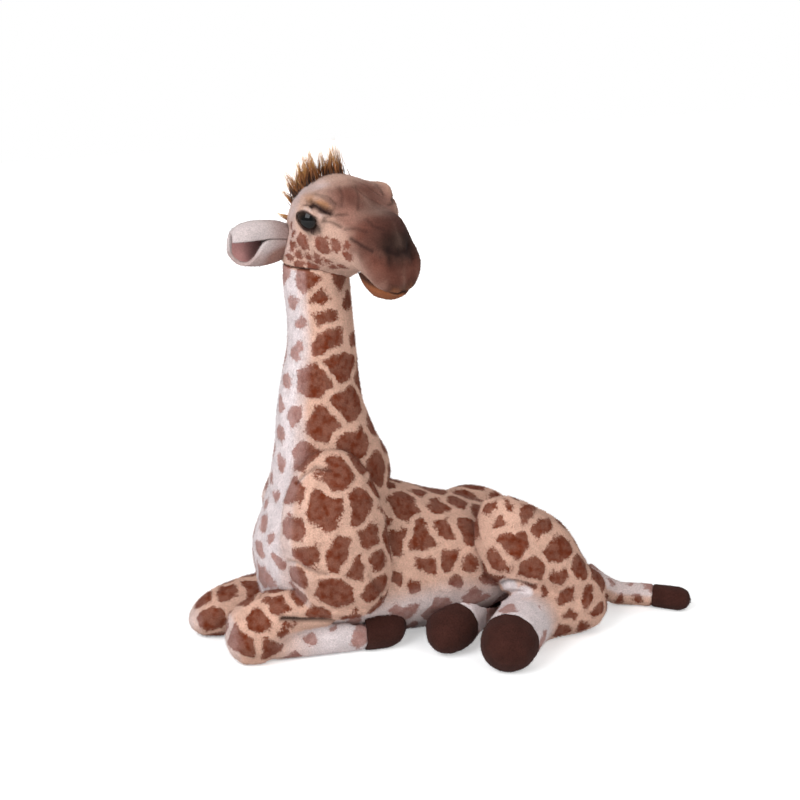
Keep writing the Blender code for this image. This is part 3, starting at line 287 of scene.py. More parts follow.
def in_head(points):
    return (points - np.array(SKULL)) @ HEAD_AXES.T


def from_head(local):
    return local @ HEAD_AXES + np.array(SKULL)


# Mesh helpers


def points_of(piece):
    flat = np.zeros(len(piece.data.vertices) * 3)
    piece.data.vertices.foreach_get("co", flat)
    return flat.reshape(-1, 3)


def normals_of(piece):
    flat = np.zeros(len(piece.data.vertices) * 3, np.float32)
    piece.data.vertex_normals.foreach_get("vector", flat)
    return flat.reshape(-1, 3).astype(float)


def move_to(piece, points):
    piece.data.vertices.foreach_set("co", points.ravel())
    piece.data.update()


def settle(piece, dents):
    """Moves the skin by soft bumps: place, reach and move of each."""
    points = points_of(piece)
    for place, reach, move in dents:
        points = points + near(points, place, reach)[:, None] * np.array(move)
    move_to(piece, points)


def linked(name, data):
    """A new object in the scene."""
    made = bpy.data.objects.new(name, data)
    bpy.context.scene.collection.objects.link(made)
    return made


def new_piece(name, points, faces):
    mesh = bpy.data.meshes.new(name)
    mesh.from_pydata([tuple(point) for point in points], [], faces)
    mesh.update()
    return linked(name, mesh)


def applied(piece):
    """Replaces the piece's mesh by what its modifiers make of it."""
    shape = piece.evaluated_get(bpy.context.evaluated_depsgraph_get())
    mesh = bpy.data.meshes.new_from_object(shape)
    piece.modifiers.clear()
    piece.data = mesh
    return piece


def keep_largest(piece):
    """Drops what lies loose beside or inside the piece."""
    work = bmesh.new()
    work.from_mesh(piece.data)
    left, groups = set(work.verts), []
    while left:
        group = [left.pop()]
        for vert in group:
            beside = {edge.other_vert(vert) for edge in vert.link_edges} & left
            left -= beside
            group.extend(beside)
        groups.append(group)
    keep = set(max(groups, key=len))
    bmesh.ops.delete(work, geom=[v for v in work.verts if v not in keep], context="VERTS")
    work.to_mesh(piece.data)
    work.free()


def merged(name, nodes, plugs):
    """One piece of some CAD nodes, and of balls that are given by middle and radius."""
    work = bmesh.new()
    for node in nodes:
        work.from_mesh(NODES[node].data)
    for middle, radius in plugs:
        place = Matrix.Translation(middle)
        bmesh.ops.create_icosphere(work, subdivisions=PLUG_DETAIL, radius=radius, matrix=place)
    mesh = bpy.data.meshes.new(name)
    work.to_mesh(mesh)
    work.free()
    return linked(name, mesh)


def plush(name, nodes, voxel, rounds, plugs=(), firm=None):
    """A soft closed skin round CAD nodes: they are merged, meshed evenly and smoothed.

    Where firm, a function of points, is near 1, the skin keeps its edges."""
    piece = merged(name, nodes, plugs)
    even = piece.modifiers.new("even", "REMESH")
    even.mode = "VOXEL"
    even.voxel_size = voxel
    applied(piece)
    keep_largest(piece)
    soft = piece.modifiers.new("soft", "SMOOTH")
    soft.factor = SMOOTH_FACTOR
    soft.iterations = rounds
    if firm:
        group = piece.vertex_groups.new(name="soft")
        for n, weight in enumerate(1 - firm(points_of(piece))):
            group.add([n], float(weight), "REPLACE")
        soft.vertex_group = "soft"
    applied(piece)
    piece.vertex_groups.clear()
    piece.data.shade_smooth()
    return piece


# Fields over points


def ramp(values, low, high):
    """0 below low, 1 above high and smooth between them; low may be the larger one."""
    t = np.clip((values - low) / (high - low), 0, 1)
    return t * t * (3 - 2 * t)


def near(points, middle, radii):
    """1 at a middle, falling smoothly to about 0 past the radii."""
    away = (points - np.array(middle)) / np.array(radii)
    return np.exp(-(away * away).sum(1))


def unit(vectors):
    return vectors / np.linalg.norm(vectors, axis=1)[:, None]


def distances(points, place):
    return np.linalg.norm(points - np.array(place), axis=1)


def waves(points, size, seed):
    """A smooth wandering value between about -1 and 1, whose features are size across."""
    rng = np.random.default_rng(seed)
    total = np.zeros(len(points))
    for _ in range(WAVE_COUNT):
        direction = rng.normal(size=3)
        direction /= np.linalg.norm(direction)
        rate = math.pi / size * rng.uniform(*WAVE_RATES)
        total += np.sin(points @ direction * rate + rng.uniform(0, math.tau))
    return total / math.sqrt(WAVE_COUNT / 2) / 2


def wandered(points, seed, scale=1.0):
    """Points moved about a little, so that outlines drawn through them wander."""
    size = WANDER_SIZE * scale
    broad = [waves(points, size, seed + axis) for axis in range(3)]
    fine_seed = seed + FINE_WANDER_SEEDS
    fine = [waves(points, size * FINE_WANDER_SIZE_SHARE, fine_seed + axis) for axis in range(3)]
    return points + (np.stack(broad, 1) + np.stack(fine, 1) * FINE_WANDER_SHARE) * WANDER * scale


def surface_tree(piece):
    return BVHTree.FromPolygons(
        [vert.co for vert in piece.data.vertices], [face.vertices for face in piece.data.polygons]
    )


# What the picture shows, put on a piece's surface


def ray_to(pixel_x, pixel_y):
    """The direction from the camera through a pixel of the picture."""
    half = PICTURE_PIXELS / 2
    across, up = (pixel_x - half) * PIXEL_SIZE, (half - pixel_y) * PIXEL_SIZE
    return (VIEW_RIGHT * across + VIEW_UP * up - VIEW_BACK * VIEW_DISTANCE).normalized()


def seen_on(tree, pixel_x, pixel_y):
    """The point of a piece that shows at a pixel, or the piece's nearest point to that ray."""
    direction = ray_to(pixel_x, pixel_y)
    hit = tree.ray_cast(VIEW_POINT, direction)[0]
    if hit:
        return tuple(hit)
    best = None
    for n in range(RAY_STOPS):
        share = RAY_FROM_SHARE + RAY_SPAN_SHARE * n / RAY_STOPS
        found, _, _, away = tree.find_nearest(VIEW_POINT + direction * VIEW_DISTANCE * share)
        if best is None or away < best[0]:
            best = (away, found)
    return tuple(best[1])


def with_mirror_images(places):
    """Places on the head, and their mirror images on its other side."""
    local = in_head(places)
    return from_head(np.vstack([local, local * MIRRORED]))


def line_places(tree, corners):
    """Places along a line that is drawn over the picture, on the piece's surface."""
    places = []
    for (x, y), (next_x, next_y) in zip(corners, corners[1:]):
        steps = max(1, round(math.hypot(next_x - x, next_y - y) / FOLD_STEP))
        for n in range(steps):
            share = n / steps
            places.append(seen_on(tree, x + (next_x - x) * share, y + (next_y - y) * share))
    return np.array(places + [seen_on(tree, *corners[-1])])


def folds(piece, lines, mirrored):
    """Moves the skin along drawn lines, and returns how much painted shade each of its points gets in the
    folds.
    """
    tree = surface_tree(piece)
    points, normals = points_of(piece), normals_of(piece)
    dark, push = np.zeros(len(points)), np.zeros(len(points))
    for reach, out, depth, corners in lines:
        places = line_places(tree, corners)
        if mirrored:
            places = with_mirror_images(places)
        away = np.full(len(points), np.inf)
        for place in places:
            away = np.minimum(away, ((points - place) ** 2).sum(1))
        hold = np.exp(-away / (reach * PIXEL_SIZE) ** 2)
        push = np.where(np.abs(out * hold) > np.abs(push), out * hold, push)
        dark = np.maximum(dark, depth * hold)
    move_to(piece, points + normals * push[:, None])
    return dark


def spot_seeds(piece, seen, spacing, seed):
    """Middles and reaches of the spots: those that the photograph shows, then more where it doesn't."""
    tree = surface_tree(piece)
    middles = np.array([seen_on(tree, x, y) for x, y, _ in seen]).reshape(-1, 3)
    reaches = [reach * PIXEL_SIZE * REACH_FACTOR for _, _, reach in seen]
    points = points_of(piece)
    for k in np.random.default_rng(seed).permutation(len(points)):
        if not len(middles) or np.min(np.linalg.norm(middles - points[k], axis=1)) > spacing:
            middles = np.vstack([middles, points[k]])
            reaches.append(spacing * GROWN_REACH_SHARE)
    return middles, np.array(reaches)


def face_seeds(piece):
    """The same for the head: the spots of the side that shows, and their mirror images."""
    tree = surface_tree(piece)
    middles = with_mirror_images(np.array([seen_on(tree, x, y) for x, y, _ in HEAD_SPOTS]))
    return middles, np.array([reach * PIXEL_SIZE * FACE_REACH_FACTOR for _, _, reach in HEAD_SPOTS] * 2)


def spot_field(points, seeds, seed, net=NET_HALF_WIDTH, scale=1.0):
    """Metres inside the nearest spot's outline, or less than zero on the net between spots."""
    middles, reaches = seeds
    moved = wandered(points, seed, scale)
    field = np.empty(len(points))
    for start in range(0, len(points), FIELD_BLOCK):
        part = moved[start : start + FIELD_BLOCK]
        away = np.linalg.norm(part[:, None] - middles[None], axis=2)
        weighed = away - reaches[None] * REACH_WEIGHT
        first, second = np.argsort(weighed, axis=1)[:, :2].T
        rows = np.arange(len(part))
        between = (weighed[rows, second] - weighed[rows, first]) / 2 - net
        field[start : start + FIELD_BLOCK] = np.minimum(between, reaches[first] - away[rows, first])
    return field


def spots_on(piece, seen, spacing, seeds):
    return spot_field(points_of(piece), spot_seeds(piece, seen, spacing, seeds[0]), seeds[1])


def dab_colours(piece, points, seed):
    """The face's colours at its points. Dabs on the side that shows are mirrored to the other."""
    tree = surface_tree(piece)
    moved = wandered(points, seed, DAB_WANDER)
    colours = np.broadcast_to(TONES["skin"], points.shape).copy()
    for dabs, mirrored in ((HEAD_DABS, True), (FAR_DABS, False)):
        for x, y, reach, tone, strength in dabs:
            places = np.array([seen_on(tree, x, y)])
            if mirrored:
                places = with_mirror_images(places)
            hold = np.zeros(len(points))
            for place in places:
                away = distances(moved, place) / (reach * PIXEL_SIZE)
                hold = np.maximum(hold, strength * np.exp(-(away**2) * DAB_SHARPNESS))
            colours += (np.array(TONES[tone]) - colours) * hold[:, None]
    return colours


# Values at a piece's points, for its material to read


FIELDS = ("spot", "pale", "dark", "cover")


def layer_of(piece, name, kind):
    return piece.data.attributes.get(name) or piece.data.attributes.new(name, kind, "POINT")


def paint(piece, **fields):
    for name, values in fields.items():
        values = np.broadcast_to(values, len(piece.data.vertices)).astype(np.float32)
        layer_of(piece, name, "FLOAT").data.foreach_set("value", values)


def paint_colours(piece, colours):
    colours = np.asarray(colours, np.float32).ravel()
    layer_of(piece, "paint", "FLOAT_VECTOR").data.foreach_set("vector", colours)


def painted(piece, name, key="value", size=1):
    """One row for each of the piece's points: what was painted there, or zeros."""
    values = np.zeros(len(piece.data.vertices) * size, np.float32)
    layer = piece.data.attributes.get(name)
    if layer:
        layer.data.foreach_get(key, values)
    return values.reshape(-1, size)


# Pile


def scattered(piece, density, rng):
    """Random places on a skin: the corners of the triangle that each lies in, and their weights."""
    mesh = piece.data
    mesh.calc_loop_triangles()
    corners = np.zeros(len(mesh.loop_triangles) * 3, np.int32)
    mesh.loop_triangles.foreach_get("vertices", corners)
    corners = corners.reshape(-1, 3)
    points = points_of(piece)
    a, b, c = (points[corners[:, n]] for n in range(3))
    areas = np.linalg.norm(np.cross(b - a, c - a), axis=1) / 2
    amount = int(areas.sum() * MM2_PER_M2 * density)
    chosen = rng.choice(len(corners), amount, p=areas / areas.sum())
    u, v = rng.random(amount), rng.random(amount)
    over = u + v > 1
    u[over], v[over] = 1 - u[over], 1 - v[over]
    return corners[chosen], np.stack([1 - u - v, u, v], 1)


def at_roots(values, corners, weights):
    """What rows of values at a skin's points come to at places in its triangles."""
    return (values[corners] * weights[:, :, None]).sum(1)


def leaning(out, flow, rng):
    """Directions of blades: out from the skin, leaning along flow, and straying a little."""
    lay = flow[None] - out * (out @ flow)[:, None]
    lay /= np.maximum(np.linalg.norm(lay, axis=1), STEEPEST_LAY)[:, None]
    return unit(out + lay * PILE_LEAN + rng.normal(size=out.shape) * PILE_JITTER)


def pile(piece, length, flow, seed, density=1.0):
    """Short blades of pile over a skin, leaning along flow. They take the skin's colour at their roots."""
    share = 1
    rng = np.random.default_rng(seed)
    at, weights = scattered(piece, PILE_PER_MM2 * density * share, rng)
    roots = at_roots(points_of(piece), at, weights)
    out = unit(at_roots(normals_of(piece), at, weights))
    along = leaning(out, np.array(flow, float), rng)
    across = np.cross(along, out)
    across /= np.maximum(np.linalg.norm(across, axis=1), TINY)[:, None]
    lengths = np.broadcast_to(length, len(piece.data.vertices))[at[:, 0]]
    lengths = lengths * rng.uniform(*PILE_LENGTH_SHARES, len(at))
    half = across * PILE_WIDTH / math.sqrt(share) / 2
    feet = roots - out * PILE_WIDTH
    corners = np.stack([feet - half, feet + half, roots + along * lengths[:, None]], 1)
    shading = unit(out + rng.normal(size=out.shape) * PILE_SHADING_JITTER)
    made = blades_piece(piece.name + "_pile", corners.reshape(-1, 3), np.repeat(shading, 3, axis=0))
    for name in FIELDS:
        paint(made, **{name: np.repeat(at_roots(painted(piece, name), at, weights), 3)})
    colours = at_roots(painted(piece, "paint", "vector", 3), at, weights)
    paint_colours(made, np.repeat(colours, 3, axis=0))
    paint(made, tip=np.tile([0.0, 0.0, 1.0], len(at)), shade=np.repeat(rng.random(len(at)), 3))
    return made


# The place of a blade in its own cell of the map
BLADE_IN_CELL = ((0.1, 0.1), (0.9, 0.1), (0.5, 0.9))


def blades_piece(name, corners, normals=None):
    """A mesh of loose triangles, with a map that gives each its own small place."""
    amount = len(corners) // 3
    mesh = bpy.data.meshes.new(name)
    mesh.vertices.add(amount * 3)
    mesh.vertices.foreach_set("co", corners.ravel())
    mesh.loops.add(amount * 3)
    mesh.loops.foreach_set("vertex_index", np.arange(amount * 3, dtype=np.int32))
    mesh.polygons.add(amount)
    mesh.polygons.foreach_set("loop_start", np.arange(0, amount * 3, 3, dtype=np.int32))
    mesh.update(calc_edges=True)
    if normals is not None:
        mesh.normals_split_custom_set_from_vertices(normals)
    across = math.ceil(math.sqrt(amount))
    cells = np.stack([np.arange(amount) % across, np.arange(amount) // across], 1)
    places = (cells[:, None] + np.array(BLADE_IN_CELL)[None]) / across
    layer = mesh.uv_layers.new(name="OFBake")
    layer.data.foreach_set("uv", places.astype(np.float32).ravel())
    return linked(name, mesh)


# Materials

TAN = (0.68, 0.425, 0.325)
PALE = (0.76, 0.665, 0.665)
CHESTNUT = (0.160, 0.028, 0.0085)
FADED = (0.42, 0.22, 0.19)
DARK = (0.020, 0.009, 0.008)
MANE_ROOT = (0.022, 0.008, 0.004)
MANE_MIDDLE = (0.27, 0.090, 0.020)
MANE_TIP = (0.70, 0.40, 0.15)
EYE_BLACK = (0.004, 0.004, 0.004)
EYE_RIM = (0.022, 0.012, 0.008)
WASHER_TONES = ((0.75, 0.75, 0.72), (0.68, 0.68, 0.65))
SPOT_SOFTNESS = 0.0009
# Noises: size, detail and roughness
GRAIN = (0.0009, 3.0, 0.7)
CLOUDS = (0.008, 2.0)
RELIEF = (0.0007, 3.0, 0.75)
EDGE_NOISE = (0.0016, 3.0, 0.6)
PRINT_NOISE = (0.005, 2.0)
RELIEF_DEPTH = 0.0006
RELIEF_STRENGTH = 0.6
BLOTCH_SIZE = 0.004
WASHER_BLOTCH_SIZE = 0.003
WASHER_RELIEF_SIZE = 0.001
WASHER_RELIEF_DEPTH = 0.0001
# Spans of a value, and where there are four numbers, what it becomes at either end
WHOLE = (0.0, 1.0)
MIDDLE = (0.3, 0.7)
RAGGED = (0.2, 0.8, -0.0011, 0.0011)
PRINTED_WELL = (0.35, 0.75, 0.84, 1.0)
BLOTCHED = (0.3, 0.7, 0.0, 0.35)
MANE_SHADES = (0.0, 1.0, -0.18, 0.18)
LOWER_MANE = (0.05, 0.5)
UPPER_MANE = (0.5, 0.95)
EYE_RING = (0.35, 0.75)
BLOTCH_LEVEL = 0.72
UNEVEN = 0.22
PLUSH_ROUGHNESS = 0.9
MANE_ROUGHNESS = 0.55
EYE_ROUGHNESS = 0.04
WASHER_ROUGHNESS = 0.45
PLUSH_SHEEN = {"Sheen_Weight": 0.04, "Sheen_Roughness": 0.5, "Specular_IOR_Level": 0.05}


class Nodes:
    """Short calls for building the nodes of a material or the world."""

    def __init__(self, owner, surface="Principled BSDF"):
        owner.use_nodes = True
        self.owner = owner
        self.tree = owner.node_tree
        self.surface = self.tree.nodes[surface]

    def put(self, socket, value):
        if isinstance(value, bpy.types.NodeSocket):
            self.tree.links.new(value, socket)
        elif isinstance(value, (tuple, list)) and len(value) == 3 and socket.type == "RGBA":
            socket.default_value = (*value, 1)
        else:
            socket.default_value = value

    def new(self, kind, inputs, output=0, **settings):
        """An output of a new node with these inputs."""
        node = self.tree.nodes.new(kind)
        for name, value in settings.items():
            setattr(node, name, value)
        for name, value in inputs.items():
            self.put(node.inputs[name], value)
        return node.outputs[output]

    def field(self, name, output="Fac"):
        return self.new("ShaderNodeAttribute", {}, output, attribute_name=name)

    def math(self, operation, a, b):
        return self.new("ShaderNodeMath", {0: a, 1: b}, operation=operation)

    def rise(self, value, low, high, to_low=0.0, to_high=1.0):
        inputs = dict(enumerate((value, low, high, to_low, to_high)))
        return self.new("ShaderNodeMapRange", inputs, interpolation_type="SMOOTHSTEP")

    def mix(self, share, a, b, how="MIX"):
        return self.new("ShaderNodeMix", {0: share, 6: a, 7: b}, 2, data_type="RGBA", blend_type=how)

    def place(self):
        return self.new("ShaderNodeTexCoord", {}, "Object")

    def noise(self, size, detail=2.0, rough=0.5):
        inputs = {"Vector": self.place(), "Scale": 1 / size, "Detail": detail, "Roughness": rough}
        return self.new("ShaderNodeTexNoise", inputs, "Fac")

    def bump(self, height, distance, strength=1.0):
        inputs = {"Strength": strength, "Distance": distance, "Height": height}
        self.put(self.surface.inputs["Normal"], self.new("ShaderNodeBump", inputs))

    def seen_by(self, *rays):
        """1 for these kinds of rays, and 0 for the rest."""
        return self.math("MAXIMUM", *[self.new("ShaderNodeLightPath", {}, ray) for ray in rays])

    def finish(self, colour, roughness, **sockets):
        self.put(self.surface.inputs["Base Color"], colour)
        self.put(self.surface.inputs["Roughness"], roughness)
        for name, value in sockets.items():
            self.put(self.surface.inputs[name.replace("_", " ")], value)
        return self.owner


def material_nodes(name):
    return Nodes(bpy.data.materials.new(name))


def brushed(nodes, colour, amount):
    """Colour with the uneven light and dark tones of pile, finer along each blade, and painted shade at each
    blade's root, so that it grows lighter towards its tip.
    """
    parts = (
        (nodes.noise(*GRAIN), MIDDLE, 1.0, 0.6),
        (nodes.noise(*CLOUDS), MIDDLE, 0.3, 0.3),
        (nodes.field("shade"), WHOLE, 0.35, 0.35),
        # Painted shade at the roots of the pile: each blade grows lighter towards its tip
        (nodes.field("tip"), WHOLE, 0.0, 0.5),
    )
    level = 1.0
    for value, span, less, more in parts:
        change = nodes.rise(value, *span, 1 - amount * less, 1 + amount * more)
        level = nodes.math("MULTIPLY", level, change)
    grey = nodes.new("ShaderNodeCombineColor", dict.fromkeys(range(3), level))
    return nodes.mix(1.0, colour, grey, "MULTIPLY")


def painted_over(nodes, colour):
    """Lays the painted colours over a plush's own."""
    return nodes.mix(nodes.field("cover"), colour, nodes.field("paint", "Vector"))


def plush_surface(nodes, colour, amount=UNEVEN):
    # The dark value mixes in painted shade: in folds, creases and eye sockets, along the lids' edges, on top
    # of the jaw, inside the ears and low on the body near the floor
    colour = nodes.mix(nodes.field("dark"), colour, DARK)
    nodes.bump(nodes.noise(*RELIEF), RELIEF_DEPTH, RELIEF_STRENGTH)
    return nodes.finish(brushed(nodes, colour, amount), PLUSH_ROUGHNESS, **PLUSH_SHEEN)


def printed_material():
    """Plush with spots printed on it, faded where it is pale."""
    nodes = material_nodes("printed plush")
    ragged = nodes.rise(nodes.noise(*EDGE_NOISE), *RAGGED)
    spot = nodes.rise(nodes.math("ADD", nodes.field("spot"), ragged), -SPOT_SOFTNESS, SPOT_SOFTNESS)
    # The pale value is the toy's paler parts, and also painted light on the tail's top and, in part, on the
    # fronts of the chest, neck and forelegs, which face the key lamp
    pale = nodes.field("pale")
    ground = painted_over(nodes, nodes.mix(pale, TAN, PALE))
    patchy = nodes.rise(nodes.noise(*PRINT_NOISE), *PRINTED_WELL)
    printed = nodes.math("MULTIPLY", spot, patchy)
    return plush_surface(nodes, nodes.mix(printed, ground, nodes.mix(pale, CHESTNUT, FADED)))


def plain_material(name, tone, amount=UNEVEN):
    nodes = material_nodes(name)
    uneven = nodes.rise(nodes.noise(BLOTCH_SIZE), *BLOTCHED)
    colour = nodes.mix(uneven, tone, [value * BLOTCH_LEVEL for value in tone])
    return plush_surface(nodes, painted_over(nodes, colour), amount)


def mane_material():
    nodes = material_nodes("mane pile")
    along = nodes.math("ADD", nodes.field("tip"), nodes.rise(nodes.field("shade"), *MANE_SHADES))
    colour = nodes.mix(nodes.rise(along, *LOWER_MANE), MANE_ROOT, MANE_MIDDLE)
    colour = nodes.mix(nodes.rise(along, *UPPER_MANE), colour, MANE_TIP)
    return nodes.finish(colour, MANE_ROUGHNESS, Sheen_Weight=0.1, Specular_IOR_Level=0.3)


def eye_material():
    nodes = material_nodes("eye plastic")
    colour = nodes.mix(nodes.rise(nodes.field("ring"), *EYE_RING), EYE_BLACK, EYE_RIM)
    return nodes.finish(colour, EYE_ROUGHNESS, Specular_IOR_Level=0.16)


def washer_material():
    nodes = material_nodes("washer plastic")
    nodes.bump(nodes.noise(WASHER_RELIEF_SIZE), WASHER_RELIEF_DEPTH)
    colour = nodes.mix(nodes.noise(WASHER_BLOTCH_SIZE), *WASHER_TONES)
    return nodes.finish(colour, WASHER_ROUGHNESS)


MATERIALS = {
    "spotted_plush": printed_material(),
    "pale_plush": plain_material("pale plush", (0.62, 0.53, 0.52)),
    "brown_plush": plain_material("brown plush", (0.27, 0.092, 0.040)),
    "hoof_plush": plain_material("hoof plush", (0.060, 0.021, 0.016), 0.3),
    "ear_lining": plain_material("ear velour", (0.50, 0.25, 0.235), 0.12),
    "mane_pile": mane_material(),
    "eye_plastic": eye_material(),
    "washer_plastic": washer_material(),
}


def dress(piece, slot, body=None, replaced=(), bend=None):
    """Gives the piece the material of its slot and hides the CAD nodes that it replaces; it hangs the piece
    on its body, or, when a bend is given, bakes the piece's place into its mesh.
    """
    piece.data.materials.clear()
    piece.data.materials.append(MATERIALS[slot])
    if replaced:
        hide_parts(*replaced)
    if bend:
        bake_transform(piece)
    else:
        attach(piece, body)


def furred(piece, slot, body, nodes, length, flow, seed, density=1.0, bend=None):
    """Gives a painted skin its pile, and dresses both."""
    strands = pile(piece, length, flow, seed, density)
    dress(piece, slot, body, nodes, bend)
    dress(strands, slot, body, bend=bend)


# Body and neck: one skin, which keeps its place in the world; NECK_BEND gives two bodies and two heights
# over the neck's seam

NECK_PIVOT = JOINT_PLACES["neck_bend"]
BEND_FROM = 0.045
BEND_TO = 0.085
NECK_BEND = (
    ("torso", "neck"),
    tuple(NECK_PIVOT + Vector((0, 0, BEND_FROM))),
    tuple(NECK_PIVOT + Vector((0, 0, BEND_TO))),
)
BODY_NODES = ("torso_skin", "torso_filling", "pellet_pouch", "neck_skin", "neck_filling")
# Where the cloth lies flatter or fuller than the solids: place, reach and move
BODY_DENTS = (
    ((0.102, 0.000, 0.070), (0.032, 0.060, 0.034), (-0.006, 0.0, -0.0100)),
    ((0.086, -0.052, 0.060), (0.015, 0.030, 0.020), (-0.002, 0.0, -0.0080)),
    ((-0.045, 0.000, 0.152), (0.018, 0.050, 0.026), (-0.0035, 0.0, 0.0)),
    ((-0.130, 0.020, 0.055), (0.020, 0.040, 0.022), (0.004, 0.0, 0.0)),
    ((-0.113, 0.042, 0.117), (0.024, 0.028, 0.026), (0.006, -0.002, -0.002)),
    ((0.070, -0.010, 0.098), (0.035, 0.060, 0.030), (0.0, 0.0, -0.0040)),
    ((0.030, 0.000, 0.100), (0.030, 0.036, 0.024), (0.0, 0.0, -0.0035)),
    ((0.014, -0.056, 0.100), (0.022, 0.018, 0.016), (-0.002, 0.0, 0.0045)),
    ((0.000, 0.000, 0.095), (0.032, 0.060, 0.030), (0.0, 0.0, -0.0042)),
    ((-0.038, 0.000, 0.128), (0.012, 0.030, 0.016), (0.0022, 0.0, 0.0015)),
    ((-0.085, 0.050, 0.110), (0.030, 0.026, 0.032), (0.0, -0.0040, 0.0)),
)
SLIDING_LEG = ("hindleg_right_shank", "hindleg_right_hoof")
FARTHEST = 0.05
RIM_HEIGHTS = (0.236, 0.250)
RIM_HELD = 0.9
LEG_HELD_REACHES = (0.014, 0.007)
CHEST_FACING = (0.42, 0.85)
CHEST_HEIGHTS = (-0.060, -0.080)
BELLY_HEIGHTS = (0.052, 0.030)
BELLY_WAVE_SIZE = 0.02
BELLY_WAVE = 3 * MM
BELLY_SPOT_LOSS = 1.2 * MM
BELLY_PALE = 0.8
# Painted shade low on the body near the floor: the heights where it starts and where it is full, and how
# dark it gets
FLOOR_SHADE_HEIGHTS = (0.030, 0.008)
FLOOR_SHADE = 0.5
LEG_ROOM_REACHES = (0.003, 0.012)
PRESSED_PILE = 0.3 * MM
BODY_PILE = 1.8 * MM


def distance_to(points, nodes):
    """How far each point is from the nearest of some CAD nodes, up to FARTHEST."""
    trees = [surface_tree(NODES[node]) for node in nodes]
    away = [[tree.find_nearest(point, FARTHEST)[3] or FARTHEST for tree in trees] for point in points]
    return np.min(away, axis=1)


def held_shape(points):
    """Where the body's skin keeps the solids' shape: at the neck's rim and round the leg under the belly."""
    leg = ramp(distance_to(points, SLIDING_LEG), *LEG_HELD_REACHES)
    return np.maximum(ramp(points[:, 2], *RIM_HEIGHTS) * RIM_HELD, leg)


def make_body():
    piece = plush("body_plush", BODY_NODES, *BODY_MESH, firm=held_shape)
    settle(piece, BODY_DENTS)
    points, normals = points_of(piece), normals_of(piece)
    spots = spots_on(piece, BODY_SPOTS, BODY_SPACING, BODY_SEEDS)
    # Paler where the chest and neck face forward, towards the key lamp: partly the toy's paler front and
    # partly painted light
    chest = ramp(-normals[:, 0], *CHEST_FACING) * ramp(points[:, 0], *CHEST_HEIGHTS)
    belly = ramp(points[:, 2] + waves(points, BELLY_WAVE_SIZE, BELLY_SEED) * BELLY_WAVE, *BELLY_HEIGHTS)
    # Painted shade low on the body, darkest next to the floor
    ground = ramp(points[:, 2], *FLOOR_SHADE_HEIGHTS) * FLOOR_SHADE
    pale = np.maximum(chest, belly * BELLY_PALE)
    paint(piece, spot=spots - belly * BELLY_SPOT_LOSS, pale=pale, dark=ground)
    free = ramp(distance_to(points, SLIDING_LEG), *LEG_ROOM_REACHES)
    length = PRESSED_PILE + BODY_PILE * free
    furred(piece, "spotted_plush", None, BODY_NODES, length, DOWN_AND_BACK, BODY_SEEDS[2], bend=NECK_BEND)


# Legs

LEG_PILE = 2.0 * MM
PALE_PILE_LOSS = 0.6 * MM
FOLD_PILE_LOSS = 1.2 * MM
FORELEG_ENDS = ("_upper", "_upper_filling", "_forearm", "_forearm_filling", "_cannon", "_lower_filling")
CANNON_PALE_SHARES = (-0.1, 0.6)
CANNON_TOP = 2 * MM
FORELEG_FACING = (0.5, 0.95)
FORELEG_FRONT_PALE = 0.55
FORELEG_SPOT_LOSS = 3 * MM
FOLD_SHADE = 1.1
# The crease between the right foreleg's forearm and the cannon folded back under it
CREASE_HEIGHT = 0.0248
CREASE_HALF_HEIGHT = 0.0017
CREASE_DEPTH = 0.0060
CREASE_FROM_TO = (-0.124, -0.110)
CREASE_FACING = (0.85, 0.5)
CREASE_WAVE_SIZE = 0.03
CREASE_WAVE = 0.5 * MM
HOOF_SWELL = 0.0006
HOOF_PILE = 1.3 * MM
HOOF_BUMPS = (((-0.058, -0.032, 0.022), (0.014, 0.014, 0.010), (0.0, 0.0, 0.0035)),)
SHANK_PALE_REACHES = (0.052, 0.030)
PATCH_SHARES = (1.25, 0.75)
HINDLEG_SPOT_LOSS = 4 * MM
UNDER_BODY_REACHES = (0.020, 0.004)
UNDER_BODY_PILE_LOSS_SHARE = 0.75
HINDLEG_SPOTS = {"hindleg_left": LEFT_HINDLEG_SPOTS, "hindleg_right": RIGHT_HINDLEG_SPOTS, "torso": ()}
# The pale patch over the left hind hoof: pixels across and down, and reach in pixels
LEFT_SHANK_PALE = ((497, 604, 13), (510, 600, 14), (522, 606, 13), (508, 586, 10), (524, 594, 9))


def cannon_pale(points, name):
    """How far a point is down a folded foreleg's cannon, towards its hoof."""
    low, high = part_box(name)
    along = (points[:, 0] - low.x) / (high.x - low.x)
    return ramp(along, *CANNON_PALE_SHARES) * ramp(points[:, 2], high.z + CANNON_TOP, high.z - CANNON_TOP)


def crease(piece):
    """Sinks a fold into the side of a foreleg, and returns how deep in it each point lies, for the painted
    shade there.
    """
    points, normals = points_of(piece), normals_of(piece)
    height = CREASE_HEIGHT + waves(points[:, :1] * (1, 0, 0), CREASE_WAVE_SIZE, CREASE_SEED) * CREASE_WAVE
    fold = np.exp(-(((points[:, 2] - height) / CREASE_HALF_HEIGHT) ** 2))
    fold *= ramp(points[:, 0], *CREASE_FROM_TO) * ramp(np.abs(normals[:, 2]), *CREASE_FACING)
    move_to(piece, points - normals * (fold * CREASE_DEPTH)[:, None])
    return fold


